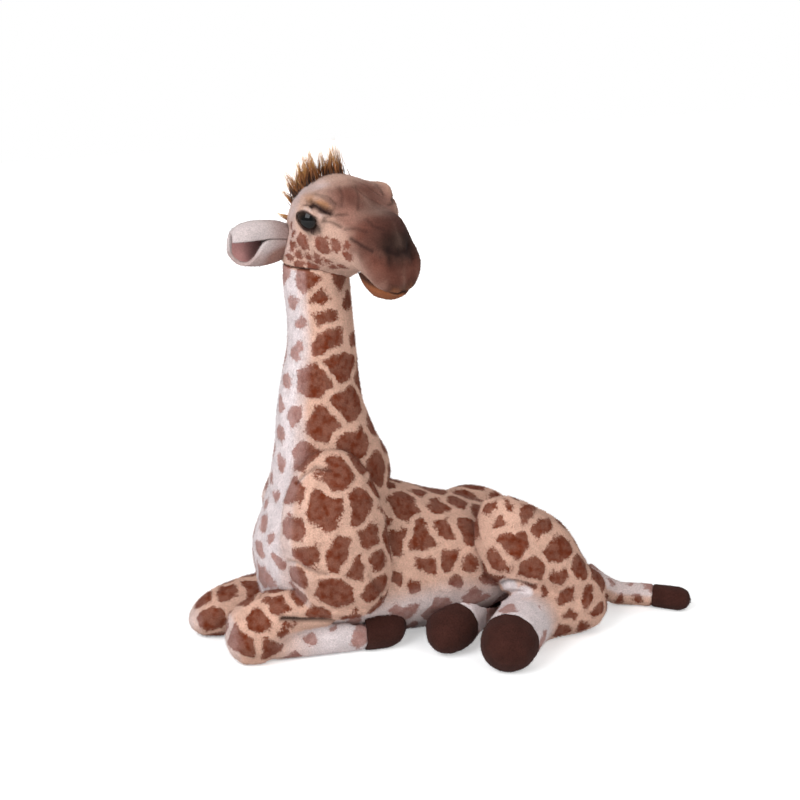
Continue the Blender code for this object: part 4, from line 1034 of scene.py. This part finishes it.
def make_foreleg(side):
    name = "foreleg_" + side
    nodes = [name + end for end in FORELEG_ENDS]
    piece = plush(name + "_plush", nodes, *LEG_MESH)
    settle(piece, BODY_DENTS)
    fold = folds(piece, LEFT_FORELEG_FOLDS, False) if side == "left" else crease(piece)
    seen = LEFT_FORELEG_SPOTS if side == "left" else RIGHT_FORELEG_SPOTS
    spots = spots_on(piece, seen, LEG_SPACING, FORELEG_SEEDS)
    pale = cannon_pale(points_of(piece), name + "_cannon")
    # Paler where the foreleg faces forward, towards the key lamp: partly its paler front and partly painted
    # light
    front = ramp(-normals_of(piece)[:, 0], *FORELEG_FACING) * FORELEG_FRONT_PALE
    # Painted shade in the leg's folds and crease
    dark = np.clip(fold * FOLD_SHADE, 0, 1)
    paint(piece, spot=spots - pale * FORELEG_SPOT_LOSS, pale=np.maximum(pale, front), dark=dark)
    length = LEG_PILE - PALE_PILE_LOSS * pale - FOLD_PILE_LOSS * fold
    furred(piece, "spotted_plush", name, nodes, length, DOWN_AND_BACK, FORELEG_SEEDS[2])
    make_hoof(name)


def make_hoof(name):
    piece = plush(name + "_hoof_plush", [name + "_hoof"], *HOOF_MESH)
    move_to(piece, points_of(piece) + normals_of(piece) * HOOF_SWELL)
    settle(piece, HOOF_BUMPS)
    furred(piece, "hoof_plush", name, [name + "_hoof"], HOOF_PILE, DOWN_AND_BACK, HOOF_PILE_SEED)


def shank_pale(points, name):
    """How near a point of a lower hind leg is to its hoof."""
    low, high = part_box(name + "_hoof")
    return ramp(distances(points, (low + high) / 2), *SHANK_PALE_REACHES)


def pale_patch(piece, points, patches):
    """How pale each point is near places that are given by pixels."""
    tree = surface_tree(piece)
    pale = np.zeros(len(points))
    for x, y, reach in patches:
        away = distances(points, seen_on(tree, x, y))
        outer, inner = (reach * PIXEL_SIZE * share for share in PATCH_SHARES)
        pale = np.maximum(pale, ramp(away, outer, inner))
    return pale


def hindleg_parts(side):
    """Name, nodes and body of each skin of a hind leg. The right thigh stays with the body."""
    name = "hindleg_" + side
    thigh = [name + "_thigh", name + "_thigh_filling"]
    shank = [name + "_shank", name + "_lower_filling"]
    if side == "left":
        return [(name + "_plush", thigh + shank, name)]
    return [(name + "_thigh_plush", thigh, "torso"), (name + "_shank_plush", shank, name)]


def make_hindleg(side):
    name = "hindleg_" + side
    for label, nodes, body in hindleg_parts(side):
        piece = plush(label, nodes, *LEG_MESH)
        settle(piece, BODY_DENTS)
        fold = folds(piece, LEFT_HINDLEG_FOLDS, False) if side == "left" else 0
        points = points_of(piece)
        spots = spots_on(piece, HINDLEG_SPOTS[body], LEG_SPACING, HINDLEG_SEEDS)
        pale = shank_pale(points, name)
        length_share = 1.0
        if side == "left":
            pale = np.maximum(pale, pale_patch(piece, points, LEFT_SHANK_PALE))
        elif body == name:
            under = ramp(distance_to(points, ("torso_skin",)), *UNDER_BODY_REACHES)
            length_share = 1 - UNDER_BODY_PILE_LOSS_SHARE * under
        # The left leg's folds get painted shade
        paint(piece, spot=spots - pale * HINDLEG_SPOT_LOSS, pale=pale, dark=fold)
        length = (LEG_PILE - PALE_PILE_LOSS * pale) * length_share
        furred(piece, "spotted_plush", body, nodes, length, DOWN_AND_BACK, HINDLEG_SEEDS[2])
    make_hoof(name)


# Tail

TAIL_PILE = 1.7 * MM
TAIL_LIT_FACING = (-0.1, 0.5)
TAIL_TOP_LIGHT = 0.8


def make_tail():
    nodes = ["tail", "tail_filling"]
    piece = plush("tail_plush", nodes, *TAIL_MESH)
    spots = spots_on(piece, TAIL_SPOTS, TAIL_SPACING, TAIL_SEEDS)
    # Paler where the tail faces up: painted light from above
    paint(piece, spot=spots, pale=ramp(normals_of(piece)[:, 2], *TAIL_LIT_FACING) * TAIL_TOP_LIGHT)
    furred(piece, "spotted_plush", "tail", nodes, TAIL_PILE, ALONG_TAIL, TAIL_SEEDS[2])
    tip = plush("tail_tip_plush", ["tail_tip"], *TAIL_TIP_MESH)
    furred(tip, "hoof_plush", "tail", ["tail_tip"], TAIL_PILE, ALONG_TAIL, TAIL_TIP_PILE_SEED)


# Head

EYE_RADIUS = 0.0092
EYE_DEPTH = 0.0088
EYE_FORWARD = 0.0022
EYE_RAISED = 0.0012
GAZE_AHEAD = 0.55
SHANK_END = 0.5 * MM


def eye_places():
    """For each side, the middle of the eyeball and the direction that it looks in."""
    places = {}
    for name in SIDES:
        points = points_of(NODES["eye_" + name])
        out = np.abs(in_head(points)[:, 1])
        tip = Vector(points[np.argmax(out)])
        axis = (tip - Vector(points[out < out.min() + SHANK_END].mean(0))).normalized()
        gaze = (axis + AHEAD * GAZE_AHEAD).normalized()
        moved = AHEAD * EYE_FORWARD + HEAD_UP * EYE_RAISED
        places[name] = (tip - axis * EYE_DEPTH + moved, gaze)
    return places


EYES = eye_places()
# The opening between the lids: half its width and height as angles, and its slant downwards to the nose
LIDS_HALF_WIDTH = 1.20
LIDS_HALF_HEIGHT = 0.56
LIDS_SLANT = -0.24
LID_ABOVE_BALL = 0.0011
EYE_BELOW_LIDS = 0.0016
LID_REACH = 0.0042
# Shares inside that opening, which are 0 at its edge and less outside: where the lids' skin starts to
# rise, where they end, and where the skin sinks under the eyeball
LID_LIMIT = -0.95
LID_SHARES = (-0.75, -0.25)
LID_EDGE = -0.05
SOCKET_SHARES = (LID_EDGE, 0.10)
# The painted shadow along the lids' edges and the painted shade in the socket under the eyeball: where the
# line lies, its width, how dark it is, where the socket darkens, and how far from the eye they reach
LID_LINE = -0.06
LID_LINE_WIDTH = 0.10
LID_SHADOW_DARK = 0.9
SOCKET_SHADE_SHARES = (-0.04, 0.05)
LID_SHADOW_REACHES = (EYE_RADIUS + 0.006, EYE_RADIUS + 0.003)
NEAR_EYE_REACHES = (EYE_RADIUS + 0.006, EYE_RADIUS + 0.001)
# The head's shape: place forward, out to the side and up from the skull's middle, reach, and move
HEAD_BUMPS = (
    ((0.014, 0.023, 0.027), (0.013, 0.010, 0.009), (0.001, 0.0085, 0.002)),
    ((0.024, 0.026, 0.019), (0.008, 0.009, 0.008), (0.001, 0.0040, 0.000)),
    ((0.010, 0.000, 0.033), (0.020, 0.022, 0.010), (0.001, 0.0000, 0.002)),
    ((0.064, 0.015, -0.013), (0.012, 0.010, 0.009), (0.000, 0.0018, -0.001)),
    ((0.048, 0.000, 0.016), (0.013, 0.020, 0.010), (0.003, 0.0, 0.0095)),
    ((0.073, 0.000, -0.004), (0.008, 0.018, 0.012), (-0.005, 0.0, 0.0)),
    ((0.068, 0.000, -0.020), (0.010, 0.016, 0.008), (0.004, 0.0, -0.0050)),
    ((0.040, 0.024, -0.004), (0.014, 0.008, 0.010), (0.000, -0.0018, 0.000)),
    ((0.070, 0.009, 0.003), (0.0045, 0.0028, 0.0038), (-0.0030, 0.0000, 0.000)),
    ((0.000, 0.026, -0.012), (0.018, 0.010, 0.012), (0.000, 0.0015, -0.001)),
)
MIDDLE_BUMP_SHARE = 0.5
SKULL_BALL = 0.0330
BALL_SLOPES = (-0.30, -0.62)
BALL_AHEAD = (0.026, 0.012)
RIM_DEPTH = 0.0025
RIM_DIRECTIONS = 36
RIM_SEARCH = 0.08
RIM_OVERHANG = 0.0006
OVER_RIM_HEIGHTS = (0.4 * MM, 1.4 * MM)
RIM_FADE_HEIGHTS = (24 * MM, 8 * MM)
EYE_PLUG = 0.4 * MM
HEAD_PALE = 0.12
HEAD_PILE = 1.5 * MM
MUZZLE_PILE_LOSS = 0.6 * MM
MUZZLE_AHEAD = (0.02, 0.05)
EYE_PILE_LOSS_SHARE = 0.6
SOCKET_PILE = 0.05 * MM
SOCKET_PILE_EDGE = -0.02
SOCKET_NEARNESS = 0.3
HEAD_FLOW = -HEAD_AXES[0] - HEAD_AXES[2] * 0.3
JAW_PLACE = tuple(from_head(np.array((0.052, 0.0, -0.026))))
JAW_BUMPS = ((JAW_PLACE, (0.020, 0.020, 0.014), tuple(-HEAD_AXES[2] * 0.0035)),)
JAW_SHADE_HEIGHTS = (-0.0195, -0.0160)
JAW_SHADE = 0.85
JAW_PILE = 0.9 * MM


def head_bumps(points):
    """Moves the skin by the head's bumps and their mirror images."""
    local = in_head(points)
    for place, reach, move in HEAD_BUMPS:
        share = 1.0 if place[1] else MIDDLE_BUMP_SHARE
        for side in (1, -1):
            turn = np.array((1, side, 1))
            local = local + (near(local, turn * place, reach) * share)[:, None] * (turn * move)
    return from_head(local)


def skull_ball(points):
    """Fills the underside and back of the head to the round that turns in the neck's hollow."""
    local = in_head(points)
    radius = np.linalg.norm(local, axis=1)
    hold = ramp(local[:, 2] / radius, *BALL_SLOPES) * ramp(local[:, 0], *BALL_AHEAD)
    grown = np.maximum(radius, SKULL_BALL)
    return from_head(local * (1 + hold * (grown / radius - 1))[:, None])


def neck_rim():
    """How far the neck's upper rim reaches from the head's axis in each direction, and its height."""
    neck = NODES["neck_skin"]
    tree = surface_tree(neck)
    top = max(vert.co.z for vert in neck.data.vertices)
    directions = np.linspace(-math.pi, math.pi, RIM_DIRECTIONS, endpoint=False)
    reaches = []
    for direction in directions:
        out = Vector((math.cos(direction), math.sin(direction), 0))
        start = Vector((SKULL.x, SKULL.y, top - RIM_DEPTH)) + out * RIM_SEARCH
        hit = tree.ray_cast(start, -out)[0]
        reaches.append(math.hypot(hit.x - SKULL.x, hit.y - SKULL.y) if hit else 0.0)
    return directions, np.array(reaches), top


def over_rim(points):
    """Brings the back and the sides of the head out over the neck's rim."""
    directions, reaches, top = neck_rim()
    beside = (points - np.array(SKULL))[:, :2]
    away = np.hypot(beside[:, 0], beside[:, 1])
    turn = np.arctan2(beside[:, 1], beside[:, 0])
    rim = np.interp(turn, directions, reaches, period=math.tau) + RIM_OVERHANG
    height = points[:, 2] - top
    hold = ramp(height, *OVER_RIM_HEIGHTS) * ramp(height, *RIM_FADE_HEIGHTS)
    new = np.where(away < rim, away + (rim - away) * hold, away)
    moved = points.copy()
    moved[:, :2] = np.array(SKULL)[:2] + beside * (new / np.maximum(away, TINY))[:, None]
    return moved


def between_lids(points, place, gaze):
    """How far inside the opening between its lids an eye sees each point, the points' distances from
    the eye, and their places from it."""
    rel = points - np.array(place)
    ahead = (AHEAD - gaze * gaze.dot(AHEAD)).normalized()
    up = gaze.cross(ahead)
    up = up if up.dot(HEAD_UP) > 0 else -up
    front = rel @ np.array(gaze)
    across = np.arctan2(rel @ np.array(ahead), front)
    over = np.arctan2(rel @ np.array(up), np.maximum(front, TINY)) - LIDS_SLANT * across
    inside = 1 - np.sqrt((across / LIDS_HALF_WIDTH) ** 2 + (over / LIDS_HALF_HEIGHT) ** 2)
    return np.where(front > 0, inside, -1.0), np.linalg.norm(rel, axis=1), rel


def sockets(points):
    """Sinks the skin between the lids under each eyeball, and rolls the lids over the ball's edge."""
    lid = EYE_RADIUS + LID_ABOVE_BALL
    for place, gaze in EYES.values():
        inside, radius, rel = between_lids(points, place, gaze)
        target = lid - ramp(inside, *SOCKET_SHARES) * (LID_ABOVE_BALL + EYE_BELOW_LIDS)
        close = (radius < lid + LID_REACH) & (inside > LID_LIMIT)
        hold = np.where(inside > LID_EDGE, 1.0, ramp(inside, *LID_SHARES)) * close
        raised = np.where((radius > lid) & (inside < LID_EDGE), radius, target)
        new = radius + (raised - radius) * hold
        points = np.array(place) + rel * (new / radius)[:, None]
    return points


def lid_shadows(points):
    """How much painted shadow the skin gets along the edges of the lids, and painted shade between them."""
    dark = np.zeros(len(points))
    for place, gaze in EYES.values():
        inside, radius, _ = between_lids(points, place, gaze)
        line = np.exp(-(((inside - LID_LINE) / LID_LINE_WIDTH) ** 2)) * LID_SHADOW_DARK
        line = np.clip(line + ramp(inside, *SOCKET_SHADE_SHARES), 0, 1)
        dark = np.maximum(dark, line * ramp(radius, *LID_SHADOW_REACHES))
    return dark


def eye_nearness(points):
    away = [distances(points, place) for place, _ in EYES.values()]
    return ramp(np.minimum(*away), *NEAR_EYE_REACHES)


def head_pile(points):
    """Lengths of the head's pile: shorter on the muzzle and round the eyes, and next to none under them."""
    near_eye = eye_nearness(points)
    muzzle = ramp(in_head(points)[:, 0], *MUZZLE_AHEAD)
    length = (HEAD_PILE - MUZZLE_PILE_LOSS * muzzle) * (1 - EYE_PILE_LOSS_SHARE * near_eye)
    inside = np.maximum(*[between_lids(points, place, gaze)[0] for place, gaze in EYES.values()])
    return np.where((inside > SOCKET_PILE_EDGE) & (near_eye > SOCKET_NEARNESS), SOCKET_PILE, length)


def make_head():
    nodes = ["head_skin", "head_filling"]
    plugs = [(place, EYE_RADIUS + EYE_PLUG) for place, _ in EYES.values()]
    piece = plush("head_plush", nodes, *HEAD_MESH, plugs, eye_nearness)
    move_to(piece, sockets(over_rim(skull_ball(head_bumps(points_of(piece))))))
    fold_shade = folds(piece, HEAD_FOLDS, True)
    points = points_of(piece)
    colours = dab_colours(piece, points, HEAD_SEEDS[0])
    spots = spot_field(points, face_seeds(piece), HEAD_SEEDS[1], FACE_NET_HALF_WIDTH, FACE_WANDER)
    # Painted shadow along the lids' edges, and painted shade in the eye sockets and in the folds
    paint(piece, spot=spots, pale=HEAD_PALE, cover=1.0, dark=np.maximum(lid_shadows(points), fold_shade))
    paint_colours(piece, colours)
    nodes += ["eyelid_left", "eyelid_right"]
    furred(piece, "spotted_plush", "head", nodes, head_pile(points), HEAD_FLOW, HEAD_SEEDS[2], FINE_PILE)


def make_jaw():
    piece = plush("lower_jaw_plush", ["lower_jaw"], *JAW_MESH)
    settle(piece, JAW_BUMPS)
    # Painted shade on the top of the jaw, where it meets the muzzle's underside
    paint(piece, dark=ramp(in_head(points_of(piece))[:, 2], *JAW_SHADE_HEIGHTS) * JAW_SHADE)
    furred(piece, "brown_plush", "head", ["lower_jaw"], JAW_PILE, -HEAD_AXES[0], JAW_PILE_SEED, FINE_PILE)


# Eyes

EYE_BACK = math.radians(-5)
EYE_STEPS = 16
EYE_SIDES = 56


def eyeball(name, axes):
    """A ball with a flat back, whose gaze is the Z axis of axes."""
    places = [(0, 0, math.sin(EYE_BACK))]
    for n in range(EYE_STEPS):
        rise = EYE_BACK + (math.pi / 2 - EYE_BACK) * n / EYE_STEPS
        for turn in (math.tau * k / EYE_SIDES for k in range(EYE_SIDES)):
            places.append((math.cos(rise) * math.cos(turn), math.cos(rise) * math.sin(turn), math.sin(rise)))
    places.append((0, 0, 1))
    last = len(places) - 1
    faces = []
    for n in range(EYE_SIDES):
        m = (n + 1) % EYE_SIDES
        rows = range(1, last, EYE_SIDES)
        faces.append((0, 1 + m, 1 + n))
        faces += [(a + n, a + m, b + m, b + n) for a, b in zip(rows, rows[1:])]
        faces.append((rows[-1] + n, rows[-1] + m, last))
    piece = new_piece(name, [axes @ (Vector(place) * EYE_RADIUS) for place in places], faces)
    piece.data.shade_smooth()
    return piece


def make_eyes():
    for name, (place, gaze) in EYES.items():
        axes = Matrix.Translation(place) @ gaze.to_track_quat("Z", "Y").to_matrix().to_4x4()
        piece = eyeball("eye_ball_" + name, axes)
        away = np.linalg.norm(np.cross(points_of(piece) - np.array(place), np.array(gaze)), axis=1)
        paint(piece, ring=away / EYE_RADIUS)
        dress(piece, "eye_plastic", "head", ["eye_" + name])
        washer_materials = NODES["eye_washer_" + name].data.materials
        washer_materials.clear()
        washer_materials.append(MATERIALS["washer_plastic"])


# Ears

# An ear along its length: how far along, rise, half height and half depth of its round, and the angles
# of its upper and lower edge, from the front over the top to the back and the bottom
EAR_ROWS = (
    (0.00, 0.0, 0.0105, 0.0040, 10, 370),
    (0.10, 0.0, 0.0128, 0.0056, 12, 372),
    (0.25, 0.0, 0.0148, 0.0068, 16, 376),
    (0.40, 0.0, 0.0156, 0.0076, 18, 378),
    (0.52, 0.0, 0.0159, 0.0082, 18, 372),
    (0.60, 0.0, 0.0160, 0.0086, 18, 340),
    (0.70, 0.0, 0.0157, 0.0086, 18, 304),
    (0.81, 0.0, 0.0147, 0.0080, 18, 270),
    (0.92, 0.0004, 0.0122, 0.0066, 18, 246),
    (1.00, 0.0010, 0.0080, 0.0048, 18, 232),
)
EAR_SIDES = (("right", -1), ("left", 1))
EAR_LENGTH = 0.043
EAR_ROOT = (-0.013, 0.026, -0.0078)
EAR_LAID_BACK = 0.22
EAR_WALL = 0.0027
EAR_WALL_INWARD = 1.0
EAR_ROUND = 30
EAR_DETAIL = 2
EDGE_TRIM_FACTOR = 1.2
EAR_LOW_HEIGHTS = (EAR_ROOT[2] + 0.001, EAR_ROOT[2] - 0.009)
EAR_ROOT_REACHES = (0.050, 0.032)
# How much rose covers an ear: low on it, which is its own tan underside; low at its root and at its root,
# which is painted shade where it meets the head; and at most
LOW_ROSE, LOW_ROOT_SHADE, ROOT_SHADE, MOST_ROSE = 0.45, 0.9, 0.5, 0.9
EAR_PILE = 1.3 * MM
LINING_ROWS = EAR_ROWS[3:-1]
LINING_INSET = EAR_WALL + 0.3 * MM
LINING_WALL = 0.0005
LINING_SHADE_REACHES = (0.060, 0.046)
LINING_SHADE = 0.6


def ear_row(side, row, inset):
    """Places round one row of an ear, moved by inset into it, away from its wall and edges."""
    share, rise, high, deep, upper, lower = row
    out = math.sqrt(1 - EAR_LAID_BACK**2)
    front = np.array((out, EAR_LAID_BACK * side, 0))
    along = np.array((-EAR_LAID_BACK, side * out, 0))
    middle = np.array(EAR_ROOT) * (1, side, 1) + along * share * EAR_LENGTH
    trim = math.degrees(inset / high) * EDGE_TRIM_FACTOR
    places = []
    for n in range(EAR_ROUND + 1):
        angle = math.radians(upper + trim + (lower - upper - 2 * trim) * n / EAR_ROUND)
        over = np.array((0, 0, rise + (high - inset) * math.sin(angle)))
        places.append(middle + over + front * (deep - inset) * math.cos(angle))
    return places


def ear_sheet(name, side, inset, wall, rows):
    """A sheet with a wall, rolled along an ear."""
    points = [place for row in rows for place in ear_row(side, row, inset)]
    faces = []
    for k in range(len(rows) - 1):
        for n in range(EAR_ROUND):
            a, b = k * (EAR_ROUND + 1) + n, (k + 1) * (EAR_ROUND + 1) + n
            faces.append([a, a + 1, b + 1, b][::side])
    piece = new_piece(name, from_head(np.array(points)), faces)
    solid = piece.modifiers.new("wall", "SOLIDIFY")
    solid.thickness = wall
    solid.offset = EAR_WALL_INWARD
    piece.modifiers.new("soft", "SUBSURF").levels = EAR_DETAIL
    applied(piece)
    piece.data.shade_smooth()
    return piece


def make_ear(body, side):
    piece = ear_sheet(body + "_plush", side, 0, EAR_WALL, EAR_ROWS)
    local = in_head(points_of(piece))
    low = ramp(local[:, 2], *EAR_LOW_HEIGHTS)
    root = ramp(np.abs(local[:, 1]), *EAR_ROOT_REACHES)
    # The rose low on the ear is its own tan underside; the rose at its root, where it meets the head, is
    # painted shade
    paint(piece, cover=np.clip(low * (LOW_ROSE + LOW_ROOT_SHADE * root) + ROOT_SHADE * root, 0, MOST_ROSE))
    paint_colours(piece, np.broadcast_to(TONES["rose"], local.shape))
    furred(piece, "pale_plush", body, [body], EAR_PILE, HEAD_AXES[1] * side, EAR_PILE_SEED, FINE_PILE)


def make_lining(name, body, side):
    piece = ear_sheet(body + "_velour", side, LINING_INSET, LINING_WALL, LINING_ROWS)
    # Painted shade deep inside the ear, towards its root
    paint(piece, dark=ramp(np.abs(in_head(points_of(piece))[:, 1]), *LINING_SHADE_REACHES) * LINING_SHADE)
    dress(piece, "ear_lining", body, ["ear_lining_" + name])


# Mane: clumps from the top of the head to its back, with shares from 0 to 1 along that way

MANE_CLUMPS = 46
CLUMP_STRAY = 0.4
MANE_FROM_DEG = 102
MANE_TO_DEG = 190
MANE_HALF_WIDTH = 0.013
MANE_END_WIDTH_SHARE = 0.55
MANE_FANNING = 22
MANE_INSIDE = 0.02
# How a clump's direction is made up: straight out, back at the end, to a side and up at the start
MANE_OUT, MANE_BACK, MANE_ASIDE, MANE_UP = 0.8, -0.10, 0.22, 0.55
MANE_LENGTH = 0.026
MANE_LENGTH_LOSS = 0.40
CLUMP_LENGTH_SHARES = (0.62, 1.10)
BLADES_PER_CLUMP = 48
BLADE_LENGTH_SHARES = (0.55, 1.0)
BLADE_WIDTH = 0.00055
BLADE_STEPS = 3
BLADE_SWAY = 0.10
BLADE_BOW = 4
ROOT_SPREAD = (0.0030, 0.0028, 0.0008)
ROOT_DEPTH = 0.0015
TIP_SPREAD = 0.0008
QUAD = (0, 1, 2, 0, 2, 3)
TIP_TRIANGLE = (0, 1, 2)


def mane_clump(clump, tree, rng):
    """A clump's foot, direction and length, in the head's axes."""
    share = (clump + rng.uniform(-CLUMP_STRAY, CLUMP_STRAY)) / (MANE_CLUMPS - 1)
    share = min(max(share, 0.0), 1.0)
    angle = math.radians(MANE_FROM_DEG + (MANE_TO_DEG - MANE_FROM_DEG) * share)
    width_share = MANE_END_WIDTH_SHARE + (1 - MANE_END_WIDTH_SHARE) * math.sin(math.pi * share)
    side = rng.uniform(-1, 1) * MANE_HALF_WIDTH * width_share
    out = np.array((math.cos(angle), side * MANE_FANNING, math.sin(angle)))
    out /= np.linalg.norm(out)
    start = from_head(np.array((out[0] * MANE_INSIDE, side, out[2] * MANE_INSIDE)))
    foot = tree.ray_cast(Vector(start), Vector(out @ HEAD_AXES))[0]
    aside = rng.uniform(-MANE_ASIDE, MANE_ASIDE)
    aim = out * MANE_OUT + np.array((MANE_BACK * share, aside, MANE_UP * (1 - share)))
    aim /= np.linalg.norm(aim)
    length = MANE_LENGTH * (1 - MANE_LENGTH_LOSS * share) * rng.uniform(*CLUMP_LENGTH_SHARES)
    return in_head(np.array([foot]))[0], aim, length


def mane_blade(start, end, rng):
    """Place, height share and shade of each corner of one curved blade, which narrows to its tip."""
    run = end - start
    across = np.cross(run, rng.normal(size=3))
    across /= np.linalg.norm(across)
    sway = np.cross(across, run) * rng.uniform(-BLADE_SWAY, BLADE_SWAY)
    shade = rng.random()
    rows = []
    for n in range(BLADE_STEPS):
        low, high = n / BLADE_STEPS, (n + 1) / BLADE_STEPS
        quad = []
        for t, turn in ((low, -1), (low, 1), (high, 1), (high, -1)):
            middle = start + run * t + sway * BLADE_BOW * t * (1 - t)
            quad.append((middle + across * turn * BLADE_WIDTH * (1 - t) / 2, t, shade))
        rows.extend(quad[k] for k in (QUAD if n < BLADE_STEPS - 1 else TIP_TRIANGLE))
    return rows


def make_mane():
    """Long pile in pointed clumps over the top and the back of the head."""
    rng = np.random.default_rng(MANE_SEED)
    tree = surface_tree(bpy.data.objects["head_plush"])
    rows = []
    for clump in range(MANE_CLUMPS):
        foot, aim, length = mane_clump(clump, tree, rng)
        for _ in range(BLADES_PER_CLUMP):
            start = foot + rng.normal(size=3) * ROOT_SPREAD - aim * ROOT_DEPTH
            end = foot + aim * length * rng.uniform(*BLADE_LENGTH_SHARES) + rng.normal(size=3) * TIP_SPREAD
            rows.extend(mane_blade(start, end, rng))
    corners, tips, shades = zip(*rows)
    piece = blades_piece("mane_tuft", from_head(np.array(corners)))
    paint(piece, tip=np.array(tips), shade=np.array(shades))
    dress(piece, "mane_pile", "head", ["mane"])


# Floor, lamps and camera

FLOOR_REACH = 1.6
FLOOR_GREY = (0.86, 0.86, 0.86)
FLOOR_GLOW = 0.42
FLOOR_FADE = (0.55, 1.35)
WHITE = (1.0, 1.0, 1.0)
WORLD_LEVEL = 0.36
LAMP_AIM = Vector((0, 0, 0.12))
# Name, place, size, watts and colour
LAMPS = (
    ("key", (-1.15, -0.75, 1.05), 1.0, 25.0, (0.96, 0.98, 1.0)),
    ("front", (0.35, -1.5, 0.9), 1.2, 10.0, (1.0, 0.99, 0.97)),
    ("back", (0.6, 1.3, 1.2), 1.2, 8.0, (1.0, 1.0, 1.0)),
)


def make_floor():
    """A pale floor that glows towards the camera, more so far away, where it ends in white."""
    corners = [(x * FLOOR_REACH, y * FLOOR_REACH, 0) for x, y in ((-1, -1), (1, -1), (1, 1), (-1, 1))]
    floor = new_piece("floor", corners, [(0, 1, 2, 3)])
    nodes = material_nodes("pale floor")
    away = nodes.new("ShaderNodeVectorMath", {0: nodes.place()}, "Value", operation="LENGTH")
    glow = nodes.rise(away, *FLOOR_FADE, FLOOR_GLOW, 1.0)
    strength = nodes.math("MULTIPLY", nodes.seen_by("Is Camera Ray", "Is Glossy Ray"), glow)
    looks = {"Specular_IOR_Level": 0.0, "Emission_Color": WHITE, "Emission_Strength": strength}
    floor.data.materials.append(nodes.finish(FLOOR_GREY, PLUSH_ROUGHNESS, **looks))


def make_world():
    """White where the camera sees it, and dimmer as a light."""
    world = bpy.data.worlds.new("studio")
    bpy.context.scene.world = world
    nodes = Nodes(world, "Background")
    seen = nodes.seen_by("Is Camera Ray", "Is Transmission Ray")
    nodes.put(nodes.surface.inputs["Color"], WHITE)
    nodes.put(nodes.surface.inputs["Strength"], nodes.rise(seen, *WHOLE, WORLD_LEVEL, 1.0))


def make_lamps():
    for name, place, size, watts, colour in LAMPS:
        lamp = bpy.data.lights.new(name, "AREA")
        lamp.size = size
        lamp.energy = watts
        lamp.color = colour
        holder = linked(name, lamp)
        holder.location = place
        holder.rotation_mode = "QUATERNION"
        holder.rotation_quaternion = (LAMP_AIM - Vector(place)).to_track_quat("-Z", "Y")


def make_camera():
    data = bpy.data.cameras.new("camera")
    data.sensor_width = SENSOR_MM
    data.lens = SENSOR_MM * VIEW_DISTANCE / (PICTURE_PIXELS * PIXEL_SIZE)
    data.clip_end = CLIP_END
    camera = linked("camera", data)
    axes = Matrix((VIEW_RIGHT, VIEW_UP, VIEW_BACK)).transposed().to_4x4()
    camera.matrix_world = Matrix.Translation(VIEW_POINT) @ axes
    bpy.context.scene.camera = camera


make_body()
for leg_side in SIDES:
    make_foreleg(leg_side)
    make_hindleg(leg_side)
make_tail()
make_head()
make_jaw()
make_eyes()
for ear_name, ear_side in EAR_SIDES:
    make_ear("ear_" + ear_name, ear_side)
    make_lining(ear_name, "ear_" + ear_name, ear_side)
make_mane()
make_floor()
make_world()
make_lamps()
make_camera()
bpy.context.scene.view_settings.view_transform = "Standard"
bpy.context.view_layer.update()
